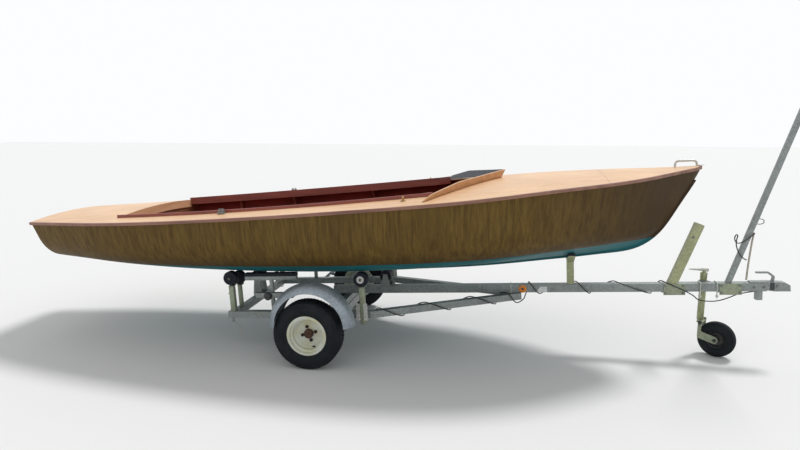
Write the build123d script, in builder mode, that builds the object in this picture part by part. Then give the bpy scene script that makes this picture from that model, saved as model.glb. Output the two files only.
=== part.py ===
"""A decked wooden sailing dinghy standing on its galvanised road trailer.

Millimetres. X points to the bow, Y to port, Z up. Everything is drawn in the
trailer's own level frame, whose X = 0 is the axle line and whose Z = 0 is the
tread under a wheel. The whole is then tipped nose up, about the axle, until
the small jockey wheel under the drawbar stands on the same floor.
"""
import os
from collections import namedtuple
from math import asin, atan2, cos, degrees, hypot, radians, sin, tan

from build123d import *

os.makedirs("parts", exist_ok=True)

# Clearances
SEAT_GAP = 0.3
RUNNING_GAP = 0.1

# Wheels
TRACK = 1478.0
TYRE_RADIUS = 245.0
TYRE_WIDTH = 145.0
TYRE_BEAD_WIDTH = 102.0
TYRE_SHOULDER = 26.0
RIM_RADIUS = 128.0
RIM_FLANGE_RADIUS = 142.0
RIM_FLANGE_THICKNESS = 5.0
RIM_SHEET = 4.0
DISC_RADIUS = 92.0
DISC_INSET = -14.0
RIM_WELL_RADIUS = 112.0
BOLT_CIRCLE = 100.0
BOLT_COUNT = 4
BOLT_RADIUS = 7.0
HUB_RADIUS = 36.0
HUB_CAP_RADIUS = 25.0
HUB_SPIGOT_RADIUS = 33.0
HUB_LENGTH = 100.0
HUB_OUT = 20.0
HUB_FLANGE_RADIUS = 62.0
STUB_RADIUS = 12.5

# Jockey wheel
JOCKEY_RADIUS = 130.0
JOCKEY_WIDTH = 80.0
JOCKEY_RIM_RADIUS = 62.0
JOCKEY_AXLE_X = 2874.0
JOCKEY_AXLE_Z = -33.0
JOCKEY_TUBE_Y = 68.0
JOCKEY_TUBE_RADIUS = 24.0
JOCKEY_TUBE_WALL = 3.0
JOCKEY_TUBE_LENGTH = 345.0
JOCKEY_TUBE_FOOT_Z = 256.0
JOCKEY_TRAIL = 124.0
JOCKEY_TURN = -33.0
JOCKEY_AXLE_RADIUS = 6.0

# The nose-up attitude in which all three wheels stand on one floor
REACH = hypot(JOCKEY_AXLE_X, TYRE_RADIUS - JOCKEY_AXLE_Z)
PARK_TILT = degrees(
    atan2(TYRE_RADIUS - JOCKEY_AXLE_Z, JOCKEY_AXLE_X) - asin((TYRE_RADIUS - JOCKEY_RADIUS) / REACH)
)

# Hull. The sheer is the top of the deck at its edge.
Station = namedtuple("Station", "x half_beam sheer keel deadrise flare bilge crown")
STATIONS = (
    # x, half beam, sheer height, keel height, deadrise, flare, bilge radius, deck crown
    Station(-2320, 497, 1059, 690, 12, 24, 330, 30),
    Station(-1500, 687, 1062, 604, 11, 17, 380, 40),
    Station(-600, 797, 1084, 548, 11, 12, 420, 46),
    Station(300, 834, 1117, 534, 11, 10, 420, 50),
    Station(1100, 797, 1150, 552, 13, 13, 400, 60),
    Station(1700, 667, 1188, 600, 18, 20, 340, 44),
    Station(2150, 462, 1205, 646, 27, 26, 220, 38),
    Station(2340, 336, 1215, 690, 38, 26, 140, 28),
    Station(2480, 224, 1225, 805, 44, 27, 90, 19),
    Station(2600, 128, 1234, 990, 50, 25, 30, 12),
    Station(2700, 56, 1243, 1151, 52, 27, 9, 6),
    Station(2742, 12, 1249, 1232, 48, 32, 3, 2),
)
SECTION_SPACING = 210.0
STEM_SECTIONS = (2300, 2400, 2480, 2550, 2600, 2650, 2700, 2742)
STEM_BLOCK_X = 2650.0
SHELL = 8.0
DECK_THICKNESS = 8.0
TRANSOM_THICKNESS = 18.0
BULKHEAD_THICKNESS = 9.0
RAIL_WIDTH = 18.0
RAIL_DEPTH = 22.0
RAIL_CHAMFER = 4.0
KEEL_STRIP_WIDTH = 26.0
KEEL_STRIP_DEPTH = 10.0
CASE_WIDTH = 56.0
CASE_AFT = -120.0
CASE_FORE = 980.0
CASE_TOP = 900.0
CASE_CAP_WIDTH = 84.0
CASE_CAP_THICKNESS = 16.0
SLOT_WIDTH = 18.0

# Cockpit
COCKPIT_AFT = -1520.0
COCKPIT_SIDE_FORE = 800.0
COCKPIT_APEX = 1300.0
COCKPIT_HALF_AFT = 543.0
COCKPIT_HALF_MID = 643.0
COCKPIT_HALF_FORE = 612.0
COAMING_THICKNESS = 12.0
COAMING_DEPTH = 62.0
COAMING_TOP_AFT = 1098.0
COAMING_TOP_MID = 1131.0
COAMING_TOP_FORE = 1186.0
FORWARD_BULKHEAD_X = 1420.0
SPLASH_THICKNESS = 9.0
SPLASH_AFT = (808.0, 612.0)
SPLASH_APEX_X = 1352.0
SPLASH_RAKE = 24.0
SPLASH_HEIGHTS = (26.0, 66.0, 72.0)
FRAME_THICKNESS = 16.0
FRAME_DEPTH = 48.0
FRAME_XS = (-1080.0, -560.0, 190.0)
SOLE_Z = 665.0
SLAT_WIDTH = 74.0
SLAT_THICKNESS = 10.0
SLAT_YS = (88.0, 184.0, 280.0)
SLAT_AFT = -1300.0
SLAT_FORE = 420.0
THWART_X = -60.0
THWART_WIDTH = 190.0
THWART_THICKNESS = 20.0
THWART_Z = CASE_TOP + CASE_CAP_THICKNESS
MAST_X = 1170.0
MAST_STEP_LENGTH = 170.0
MAST_STEP_WIDTH = 92.0
MAST_STEP_TOP = 640.0
MAST_HEEL_RADIUS = 33.0
MAST_HEEL_DEPTH = 40.0

# Fittings
HANDLE_AFT = 2568.0
HANDLE_LENGTH = 146.0
HANDLE_TOP = 1292.0
HANDLE_BAR = 12.0
HANDLE_BEND = 14.0
CLEATS = ((-560.0, 708.0),)
FAIRLEADS = ((720.0, 688.0),)
GUDGEON_ZS = (985.0, 770.0)
GUDGEON_REACH = 26.0
GUDGEON_RADIUS = 5.0

# Trailer frame
BEAM = 60.0
BEAM_WALL = 3.0
DRAWBAR_TOP = 396.0
DRAWBAR_AFT = -20.0
DRAWBAR_FORE = 3190.0
SIDE_BEAM = 50.0
SIDE_BEAM_TOP = 336.0
SIDE_BEAM_Y = 500.0
SIDE_BEAM_AFT = -705.0
ARM_BEND_X = 395.0
ARM_NOSE_X = 1462.0
ARM_NOSE_Y = 28.0
CROSS_X = -665.0
AXLE_BEAM = 60.0
AXLE_X = 110.0
AXLE_HALF = 560.0
ARM_PLATE = 14.0
ARM_HEIGHT = 54.0

# Mudguards
GUARD_CENTRE = (30.0, 305.0)
GUARD_CREST_RADIUS = 308.0
GUARD_EDGE_RADIUS = 252.0
GUARD_WIDTH = 180.0
GUARD_SHEET = 3.0
GUARD_SWEEP = 178.0
STAY_THICKNESS = 6.0
STAY_HEIGHT = 30.0
STAY_Z = 316.0

# Supports
ROLLER_RADIUS = 58.0
ROLLER_WIDTH = 56.0
ROLLER_SHAFT_RADIUS = 8.0
POST = 38.0
POST_WALL = 3.0
MID_POST_X = 368.0
REAR_POST_X = -665.0
BUNK_POST_X = -345.0
BUNK_POST = 26.0
BUNK_LENGTH = 400.0
BUNK_WIDTH = 50.0
BUNK_PAD = 22.0
KEEL_ROLLER_RADIUS = 45.0
KEEL_ROLLER_LENGTH = 110.0
KEEL_ROLLER_X = 420.0
KEEL_CHEEK = 5.0
BOW_SUPPORT_X = 1838.0
VEE_INNER = 30.0
VEE_OUTER = 150.0
VEE_LENGTH = 50.0
VEE_PAD = 20.0
BOW_POST_X = 2560.0
BOW_POST_LENGTH = 470.0
BOW_POST_LEAN = 22.5
MAST_POLE_X = 2940.0
MAST_POLE_LENGTH = 1690.0
MAST_POLE_LEAN = 20.0
CLAMP_PLATE = 5.0
CLAMP_LENGTH = 150.0
CLAMP_HEIGHT = 150.0
CRUTCH_WIDTH = 96.0
CRUTCH_HEIGHT = 80.0
CRUTCH_THICKNESS = 8.0

# Coupling
COUPLING_LENGTH = 230.0
COUPLING_SOCKET_RADIUS = 25.2
COUPLING_SOCKET_DEPTH = 30.0
COUPLING_WIDTH = 56.0
COUPLING_SOCKET_X = 3300.0
COUPLING_NOSE_X = 3345.0
REFLECTOR_X = 1482.0
REFLECTOR_RADIUS = 34.0
REFLECTOR_THICKNESS = 8.0

PARK = Pos(0, 0, TYRE_RADIUS) * Rot(0, -PARK_TILT, 0) * Pos(0, 0, -TYRE_RADIUS)
pieces = {}


def slope(index, field):
    """Rate of change of a hull table column at one of its stations."""
    before = STATIONS[max(index - 1, 0)]
    after = STATIONS[min(index + 1, len(STATIONS) - 1)]
    return (getattr(after, field) - getattr(before, field)) / (after.x - before.x)


def between(x, field):
    """A hull table value at x, on a smooth curve through its stations."""
    index = max(i for i, station in enumerate(STATIONS[:-1]) if station.x <= x)
    low, high = STATIONS[index], STATIONS[index + 1]
    span = high.x - low.x
    t = (x - low.x) / span
    return (
        (2 * t**3 - 3 * t**2 + 1) * getattr(low, field)
        + (t**3 - 2 * t**2 + t) * span * slope(index, field)
        + (3 * t**2 - 2 * t**3) * getattr(high, field)
        + (t**3 - t**2) * span * slope(index + 1, field)
    )


def deck_height(x, y):
    """Height of the deck's top face over a point of the plan."""
    beam = between(x, "half_beam")
    return between(x, "sheer") + between(x, "crown") * (1 - (y / beam) ** 2)


def hull_sections(fore):
    """X of every lofting section back from fore."""
    count = int((STEM_SECTIONS[0] - STATIONS[0].x) // SECTION_SPACING)
    even = [STATIONS[0].x + SECTION_SPACING * index for index in range(count)]
    return [x for x in even + list(STEM_SECTIONS) if x <= fore]


def hull_corners(x, skin, rise):
    """Keel, chine and sheer points of one side, moved out by skin and up by rise."""
    dead, flare = radians(between(x, "deadrise")), radians(between(x, "flare"))
    keel_z = between(x, "keel") - skin / cos(dead)
    top_z = between(x, "sheer") - DECK_THICKNESS + rise
    top_y = between(x, "half_beam") + skin / cos(flare) + (rise - DECK_THICKNESS) * tan(flare)
    chine_y = (top_y - (top_z - keel_z) * tan(flare)) / (1 - tan(dead) * tan(flare))
    return (0, keel_z), (chine_y, keel_z + chine_y * tan(dead)), (top_y, top_z)


def hull_body(skin=0.0, rise=0.0, crowned=False, fore=STATIONS[-1].x):
    """The closed hull back from fore, its planking's outer face moved out by skin."""
    with BuildPart() as body:
        for x in hull_sections(fore):
            keel, chine, top = hull_corners(x, skin, rise)
            radius = max(between(x, "bilge") + skin, 2)
            far_chine, far_top = (-chine[0], chine[1]), (-top[0], top[1])
            with BuildSketch(Plane.YZ.offset(x)):
                with BuildLine():
                    FilletPolyline(keel, chine, top, radius=radius)
                    FilletPolyline(keel, far_chine, far_top, radius=radius)
                    if crowned:
                        ThreePointArc(top, (0, top[1] + between(x, "crown")), far_top)
                    else:
                        Line(top, far_top)
                make_face()
        loft()
    return body.part


def keep(name, part, parked=True):
    """Store a finished piece, tipped to its parked attitude unless it was drawn there."""
    pieces[name] = PARK * part if parked else part


def strip_outline(points, half_width):
    """Corners of a flat strip of even width along a plan line, mitred at its bends."""
    sides = ([], [])
    for index, (x, y) in enumerate(points):
        before = points[max(index - 1, 0)]
        after = points[min(index + 1, len(points) - 1)]
        first = atan2(y - before[1], x - before[0]) if index else None
        last = atan2(after[1] - y, after[0] - x) if index < len(points) - 1 else first
        first = last if first is None else first
        mean, half_turn = (first + last) / 2, (last - first) / 2
        reach = half_width / cos(half_turn)
        for side, hand in zip(sides, (1, -1)):
            side.append((x - hand * reach * sin(mean), y + hand * reach * cos(mean)))
    return sides[0] + sides[1][::-1]


def lowest_hull(x, y, length, width):
    """Height of the hull's lowest point over a small pad of the plan."""
    pad = Pos(x, y, 800) * Box(length, width, 800, mode=Mode.PRIVATE)
    return (pad & outer).bounding_box().min.Z


outer = hull_body()
inner = hull_body(skin=-SHELL, rise=40, fore=STEM_BLOCK_X)
lining = hull_body(skin=-SHELL - SEAT_GAP, rise=-SEAT_GAP, crowned=True, fore=STEM_BLOCK_X)
outside = hull_body(skin=SEAT_GAP, rise=40)
deck_cover = hull_body(skin=SEAT_GAP, rise=DECK_THICKNESS + SEAT_GAP, crowned=True)

# Moulded hull shell, open above
with BuildPart() as hull_shell:
    add(outer)
    add(inner, mode=Mode.SUBTRACT)
keep("hull_shell", hull_shell.part)

# Flat transom let into the shell's after end
with BuildPart() as transom:
    with Locations((STATIONS[0].x + TRANSOM_THICKNESS / 2, 0, 800)):
        Box(TRANSOM_THICKNESS, 2000, 1000)
    add(lining, mode=Mode.INTERSECT)
keep("transom", transom.part)

# Bulkheads close the cockpit's ends
with BuildPart() as bulkheads:
    for x in (COCKPIT_AFT - BULKHEAD_THICKNESS, FORWARD_BULKHEAD_X):
        with Locations((x + BULKHEAD_THICKNESS / 2, 0, 800)):
            Box(BULKHEAD_THICKNESS, 2000, 1000)
    add(lining, mode=Mode.INTERSECT)
keep("bulkheads", bulkheads.part)

# Decks: one cambered skin, cut round the cockpit and parted where its panels meet
with BuildPart() as deck_skin:
    for x in hull_sections(STATIONS[-1].x):
        edge, high, crown = between(x, "half_beam"), between(x, "sheer"), between(x, "crown")
        low, tuck = high - DECK_THICKNESS, edge - DECK_THICKNESS * tan(radians(between(x, "flare")))
        with BuildSketch(Plane.YZ.offset(x)):
            with BuildLine():
                ThreePointArc((-tuck, low), (0, low + crown), (tuck, low))
                Line((tuck, low), (edge, high))
                ThreePointArc((edge, high), (0, high + crown), (-edge, high))
                Line((-edge, high), (-tuck, low))
            make_face()
    loft()

with BuildPart() as cockpit_cutter:
    with BuildSketch(Plane.XY.offset(900)):
        with BuildLine():
            Line((COCKPIT_AFT, -COCKPIT_HALF_AFT), (COCKPIT_AFT, COCKPIT_HALF_AFT))
            for hand in (1, -1):
                ThreePointArc(
                    (COCKPIT_AFT, hand * COCKPIT_HALF_AFT),
                    (0, hand * COCKPIT_HALF_MID),
                    (COCKPIT_SIDE_FORE, hand * COCKPIT_HALF_FORE),
                )
                Line((COCKPIT_SIDE_FORE, hand * COCKPIT_HALF_FORE), (COCKPIT_APEX, 0))
        make_face()
    extrude(amount=600)

with BuildPart() as open_deck:
    add(deck_skin.part)
    add(hull_body(rise=40), mode=Mode.INTERSECT)
    add(cockpit_cutter.part, mode=Mode.SUBTRACT)

DECK_PANELS = (
    # name, aft end, fore end
    ("aft_deck", STATIONS[0].x, COCKPIT_AFT),
    ("side_decks", COCKPIT_AFT, COCKPIT_SIDE_FORE),
    ("foredeck", COCKPIT_SIDE_FORE, STATIONS[-1].x),
)
for name, aft, fore in DECK_PANELS:
    with BuildPart() as panel:
        with Locations(((aft + fore) / 2, 0, 1150)):
            Box(fore - aft, 2000, 600)
        add(open_deck.part, mode=Mode.INTERSECT)
    keep(name, panel.part)

# Cockpit coamings follow the side decks' inner edges
with BuildPart() as coamings:
    for hand in (-1, 1):
        with BuildSketch(Plane.XY.offset(900)):
            with BuildLine():
                edges = []
                for inset in (SEAT_GAP, COAMING_THICKNESS):
                    edges.append(ThreePointArc(
                        (COCKPIT_AFT + SEAT_GAP, hand * (COCKPIT_HALF_AFT - inset)),
                        (0, hand * (COCKPIT_HALF_MID - inset)),
                        (COCKPIT_SIDE_FORE, hand * (COCKPIT_HALF_FORE - inset)),
                    ))
                Line(edges[0] @ 0, edges[1] @ 0)
                Line(edges[0] @ 1, edges[1] @ 1)
            make_face()
        extrude(amount=600)
    with BuildSketch(Plane.XZ.offset(1000)):
        with BuildLine():
            rims = []
            for drop in (0, COAMING_DEPTH):
                rims.append(ThreePointArc(
                    (COCKPIT_AFT, COAMING_TOP_AFT - drop),
                    (-360, COAMING_TOP_MID - drop),
                    (COCKPIT_SIDE_FORE, COAMING_TOP_FORE - drop),
                ))
            Line(rims[0] @ 0, rims[1] @ 0)
            Line(rims[0] @ 1, rims[1] @ 1)
        make_face()
    extrude(amount=-2000, mode=Mode.INTERSECT)
keep("coamings", coamings.part)

# Trim strip on the aft deck's edge, at the cockpit's after end
with BuildPart() as aft_trim:
    with Locations((COCKPIT_AFT + 4 + SEAT_GAP, 0, 1090)):
        Box(8, 2 * (COCKPIT_HALF_AFT - COAMING_THICKNESS - SEAT_GAP) - 6, 66)
keep("aft_coaming", aft_trim.part)

def splash_board(hand):
    """One of the two boards that stand in a vee on the foredeck, raked forward."""
    start = Vector(SPLASH_AFT[0], hand * SPLASH_AFT[1], deck_height(*SPLASH_AFT))
    apex = Vector(SPLASH_APEX_X, 0, deck_height(SPLASH_APEX_X, 0))
    along = (apex - start).normalized()
    ahead = Vector(-hand * along.Y, hand * along.X, 0).normalized()
    upright = Vector(0, 0, 1) - along * along.Z
    rise = upright.normalized() * cos(radians(SPLASH_RAKE)) + ahead * sin(radians(SPLASH_RAKE))
    run = (apex - start).length
    with BuildPart() as board:
        with BuildSketch(Plane(origin=start, x_dir=along, z_dir=along.cross(rise))):
            with BuildLine():
                Polyline(
                    (0, -60), (0, SPLASH_HEIGHTS[0]), (run / 2, SPLASH_HEIGHTS[1]),
                    (run + 60, SPLASH_HEIGHTS[2]), (run + 60, -60), close=True,
                )
            make_face()
        extrude(amount=SPLASH_THICKNESS)
        with Locations((1300, -hand * (500 - SEAT_GAP), 1200)):
            Box(1400, 1000, 600, mode=Mode.SUBTRACT)
        add(deck_cover, mode=Mode.SUBTRACT)
    return board.part


with BuildPart() as splash_boards:
    add(splash_board(-1))
    add(splash_board(1))
keep("splash_boards", splash_boards.part)

# Rubbing rails along the sheer
with BuildPart() as rails:
    for hand in (-1, 1):
        for x in hull_sections(STATIONS[-1].x):
            lean = tan(radians(between(x, "flare")))
            high = between(x, "sheer")
            low, near = high - RAIL_DEPTH, between(x, "half_beam") - 2
            far = near + 2 + SEAT_GAP + RAIL_WIDTH
            with BuildSketch(Plane.YZ.offset(x)):
                with BuildLine():
                    Polyline(
                        (hand * near, high), (hand * (far - RAIL_CHAMFER), high),
                        (hand * far, high - RAIL_CHAMFER), (hand * (far - RAIL_CHAMFER), low),
                        (hand * (near - RAIL_DEPTH * lean), low), close=True,
                    )
                make_face()
        loft()
    add(outside, mode=Mode.SUBTRACT)
keep("rub_rails", rails.part)


def keel_line(outward):
    """Side-view points of the keel and stem, moved out from the hull."""
    points = []
    for x in hull_sections(STATIONS[-1].x)[:-1]:
        slope_here = atan2(between(x + 5, "keel") - between(x - 5, "keel"), 10) if x > STATIONS[0].x else -0.1
        points.append((x + outward * sin(slope_here), between(x, "keel") - outward * cos(slope_here)))
    return points


def keel_strip_part(width, outward):
    """A strip of the given width that lies along the keel."""
    with BuildPart() as strip:
        with BuildSketch(Plane.XZ.offset(-width / 2)):
            with BuildLine():
                low, high = Spline(*keel_line(outward)), Spline(*keel_line(-14))
                Line(low @ 0, high @ 0)
                Line(low @ 1, high @ 1)
            make_face()
        extrude(amount=width)
        add(outside, mode=Mode.SUBTRACT)
    return strip.part


with BuildPart() as slot_space:
    with Locations(((CASE_AFT + CASE_FORE) / 2, 0, 600)):
        Box(CASE_FORE - CASE_AFT - 60, SLOT_WIDTH, 400)
with BuildPart() as keel_strip:
    add(keel_strip_part(KEEL_STRIP_WIDTH, KEEL_STRIP_DEPTH))
    add(slot_space.part, mode=Mode.SUBTRACT)
keep("keel_strip", keel_strip.part)

# Rubber strip that closes the centreboard slot
with BuildPart() as slot_gasket:
    add(keel_strip_part(SLOT_WIDTH - 2 * SEAT_GAP, KEEL_STRIP_DEPTH - 3))
    with Locations(((CASE_AFT + CASE_FORE) / 2, 0, 600)):
        Box(CASE_FORE - CASE_AFT - 60 - 2 * SEAT_GAP, SLOT_WIDTH, 400, mode=Mode.INTERSECT)
keep("slot_gasket", slot_gasket.part)

# Centreboard case with its cap
with BuildPart() as case:
    with Locations(((CASE_AFT + CASE_FORE) / 2, 0, CASE_TOP - 250)):
        Box(CASE_FORE - CASE_AFT, CASE_WIDTH, 500)
    add(lining, mode=Mode.INTERSECT)
    with Locations(((CASE_AFT + CASE_FORE) / 2, 0, CASE_TOP + CASE_CAP_THICKNESS / 2)):
        Box(CASE_FORE - CASE_AFT + 20, CASE_CAP_WIDTH, CASE_CAP_THICKNESS)
keep("centreboard_case", case.part)

# Thwart across the case's after end
with BuildPart() as thwart:
    with Locations((THWART_X, 0, THWART_Z + SEAT_GAP + THWART_THICKNESS / 2)):
        Box(THWART_WIDTH, 2000, THWART_THICKNESS)
    add(lining, mode=Mode.INTERSECT)
keep("thwart", thwart.part)

# Bent frames with side-deck knees and floors
inside_frames = hull_body(skin=-SHELL - FRAME_DEPTH, rise=60, fore=1700)
with BuildPart() as frames:
    for x in FRAME_XS:
        with Locations((x, 0, 800)):
            Box(FRAME_THICKNESS, 2000, 1000)
    add(lining, mode=Mode.INTERSECT)
    add(inside_frames, mode=Mode.SUBTRACT)
with BuildPart() as floors:
    for x in FRAME_XS:
        with Locations((x, 0, SOLE_Z - 200)):
            Box(FRAME_THICKNESS, 2000, 400)
        half = between(x, "half_beam")
        deck_z = between(x, "sheer")
        for hand in (-1, 1):
            with BuildSketch(Plane.YZ.offset(x - FRAME_THICKNESS / 2)):
                with BuildLine():
                    Polyline(
                        (hand * (COCKPIT_HALF_MID + 8), deck_z + 60), (hand * (half + 40), deck_z + 60),
                        (hand * (half + 40), deck_z - 190), (hand * (half - 70), deck_z - 150),
                        (hand * (COCKPIT_HALF_MID + 8), deck_z - 26),
                        close=True,
                    )
                make_face()
            extrude(amount=FRAME_THICKNESS)
    add(lining, mode=Mode.INTERSECT)
with BuildPart() as side_frames:
    add(frames.part)
    add(floors.part)
    with Locations(((CASE_AFT + CASE_FORE) / 2, 0, 700)):
        Box(
            CASE_FORE - CASE_AFT + 2 * SEAT_GAP, CASE_WIDTH + 2 * SEAT_GAP, 800, mode=Mode.SUBTRACT,
        )
    with Locations((0, 0, SOLE_Z + 100)):
        Box(4000, 2 * SLAT_YS[-1] + SLAT_WIDTH + 4, 200, mode=Mode.SUBTRACT)
keep("hull_frames", side_frames.part)

# Cockpit sole of loose slats on the floors
with BuildPart() as sole:
    for y in SLAT_YS:
        with Locations(*[((SLAT_AFT + SLAT_FORE) / 2, hand * y, SOLE_Z + SEAT_GAP + SLAT_THICKNESS / 2)
                         for hand in (-1, 1)]):
            Box(SLAT_FORE - SLAT_AFT, SLAT_WIDTH, SLAT_THICKNESS)
keep("cockpit_sole", sole.part)

# Mast step on the keel
with BuildPart() as mast_step:
    with Locations((MAST_X, 0, MAST_STEP_TOP - 100)):
        Box(MAST_STEP_LENGTH, MAST_STEP_WIDTH, 200)
    add(lining, mode=Mode.INTERSECT)
    with Locations((MAST_X, 0, MAST_STEP_TOP)):
        Hole(radius=MAST_HEEL_RADIUS, depth=MAST_HEEL_DEPTH)
keep("mast_step", mast_step.part)

# Bow handle: a round bar bent to a flat D
deck_at_bow = 1245.0
with BuildPart() as bow_handle:
    foot_aft, foot_fore = HANDLE_AFT, HANDLE_AFT + HANDLE_LENGTH
    with BuildLine() as bar:
        FilletPolyline(
            (foot_aft, 0, deck_height(foot_aft, 0) + SEAT_GAP),
            (foot_aft, 0, HANDLE_TOP),
            (foot_fore, 0, HANDLE_TOP),
            (foot_fore, 0, deck_height(foot_fore, 0) + SEAT_GAP),
            radius=HANDLE_BEND,
        )
    with BuildSketch(Plane.XY.offset(deck_height(foot_aft, 0) + SEAT_GAP)):
        with Locations((foot_aft, 0)):
            Circle(HANDLE_BAR / 2)
    sweep()
keep("bow_handle", bow_handle.part)

# Stem head plate over the rails' fore ends
with BuildPart() as stem_head:
    with BuildSketch(Plane.XY.offset(STATIONS[-1].sheer + STATIONS[-1].crown + SEAT_GAP)):
        with BuildLine():
            Polyline((2724, -34), (2724, 34), (2758, 16), (2766, 0), (2758, -16), close=True)
        make_face()
    extrude(amount=4)
keep("stem_head_plate", stem_head.part)

# Cam cleats and fairleads on the side decks
with BuildPart() as deck_fittings:
    for x, y in CLEATS:
        for hand in (-1, 1):
            z = deck_height(x, y)
            with Locations((x, hand * y, z + 2)):
                Box(64, 24, 10)
            with Locations((x - 14, hand * y, z + 13), (x + 14, hand * y, z + 13)):
                Cylinder(radius=9, height=14)
    for x, y in FAIRLEADS:
        for hand in (-1, 1):
            z = deck_height(x, y)
            with Locations((x, hand * y, z + 2)):
                Box(46, 20, 10)
            with Locations(Location((x, hand * y, z + 6), (0, 90, 0))):
                Cylinder(radius=13, height=12)
            with Locations(Location((x, hand * y, z + 11), (0, 90, 0))):
                Cylinder(radius=5, height=20, mode=Mode.SUBTRACT)
    add(deck_cover, mode=Mode.SUBTRACT)
keep("deck_fittings", deck_fittings.part)

# Rudder gudgeons on the transom
with BuildPart() as gudgeons:
    for z in GUDGEON_ZS:
        with Locations((STATIONS[0].x - SEAT_GAP - 1.5, 0, z)):
            Box(3, 70, 30)
        with Locations((STATIONS[0].x - SEAT_GAP - GUDGEON_REACH / 2, 0, z)):
            Box(GUDGEON_REACH, 16, 14)
        with Locations((STATIONS[0].x - SEAT_GAP - GUDGEON_REACH, 0, z)):
            Cylinder(radius=10, height=14)
            Cylinder(radius=GUDGEON_RADIUS, height=40, mode=Mode.SUBTRACT)
keep("rudder_gudgeons", gudgeons.part)


def square_tube(length, side=BEAM, wall=BEAM_WALL):
    """A square tube along X from the origin, centred on it."""
    with BuildPart() as tube:
        with BuildSketch(Plane.YZ):
            Rectangle(side, side)
            Rectangle(side - 2 * wall, side - 2 * wall, mode=Mode.SUBTRACT)
        extrude(amount=length)
    return tube.part


# Drawbar
with BuildPart() as drawbar:
    add(Pos(DRAWBAR_AFT, 0, DRAWBAR_TOP - BEAM / 2) * square_tube(DRAWBAR_FORE - DRAWBAR_AFT))
keep("drawbar", drawbar.part)

# Side beams bend inwards to the drawbar
for side, hand in (("starboard", -1), ("port", 1)):
    route = [(SIDE_BEAM_AFT, SIDE_BEAM_Y), (ARM_BEND_X, SIDE_BEAM_Y), (ARM_NOSE_X, ARM_NOSE_Y)]
    with BuildPart() as beam:
        for half, low, high, mode in (
            (SIDE_BEAM / 2, 0, SIDE_BEAM, Mode.ADD),
            (SIDE_BEAM / 2 - BEAM_WALL, BEAM_WALL, SIDE_BEAM - BEAM_WALL, Mode.SUBTRACT),
        ):
            with BuildSketch(Plane.XY.offset(SIDE_BEAM_TOP - SIDE_BEAM + low)):
                with BuildLine():
                    Polyline(*[(x, hand * y) for x, y in strip_outline(route, half)], close=True)
                make_face()
            extrude(amount=high - low, mode=mode)
    keep(f"frame_beam_{side}", beam.part)

# Cross-members between the side beams
with BuildPart() as crossmembers:
    for x in (CROSS_X, AXLE_X):
        length = 2 * (SIDE_BEAM_Y - SIDE_BEAM / 2 - SEAT_GAP)
        add(Pos(x, -length / 2, SIDE_BEAM_TOP - SIDE_BEAM / 2) * Rot(0, 0, 90)
            * square_tube(length, SIDE_BEAM))
keep("crossmembers", crossmembers.part)

# Axle beam under the side beams
axle_z = SIDE_BEAM_TOP - SIDE_BEAM - SEAT_GAP - AXLE_BEAM / 2
with BuildPart() as axle_beam:
    add(Pos(AXLE_X, -AXLE_HALF, axle_z) * Rot(0, 0, 90) * square_tube(2 * AXLE_HALF, AXLE_BEAM))
keep("axle_beam", axle_beam.part)

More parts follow.
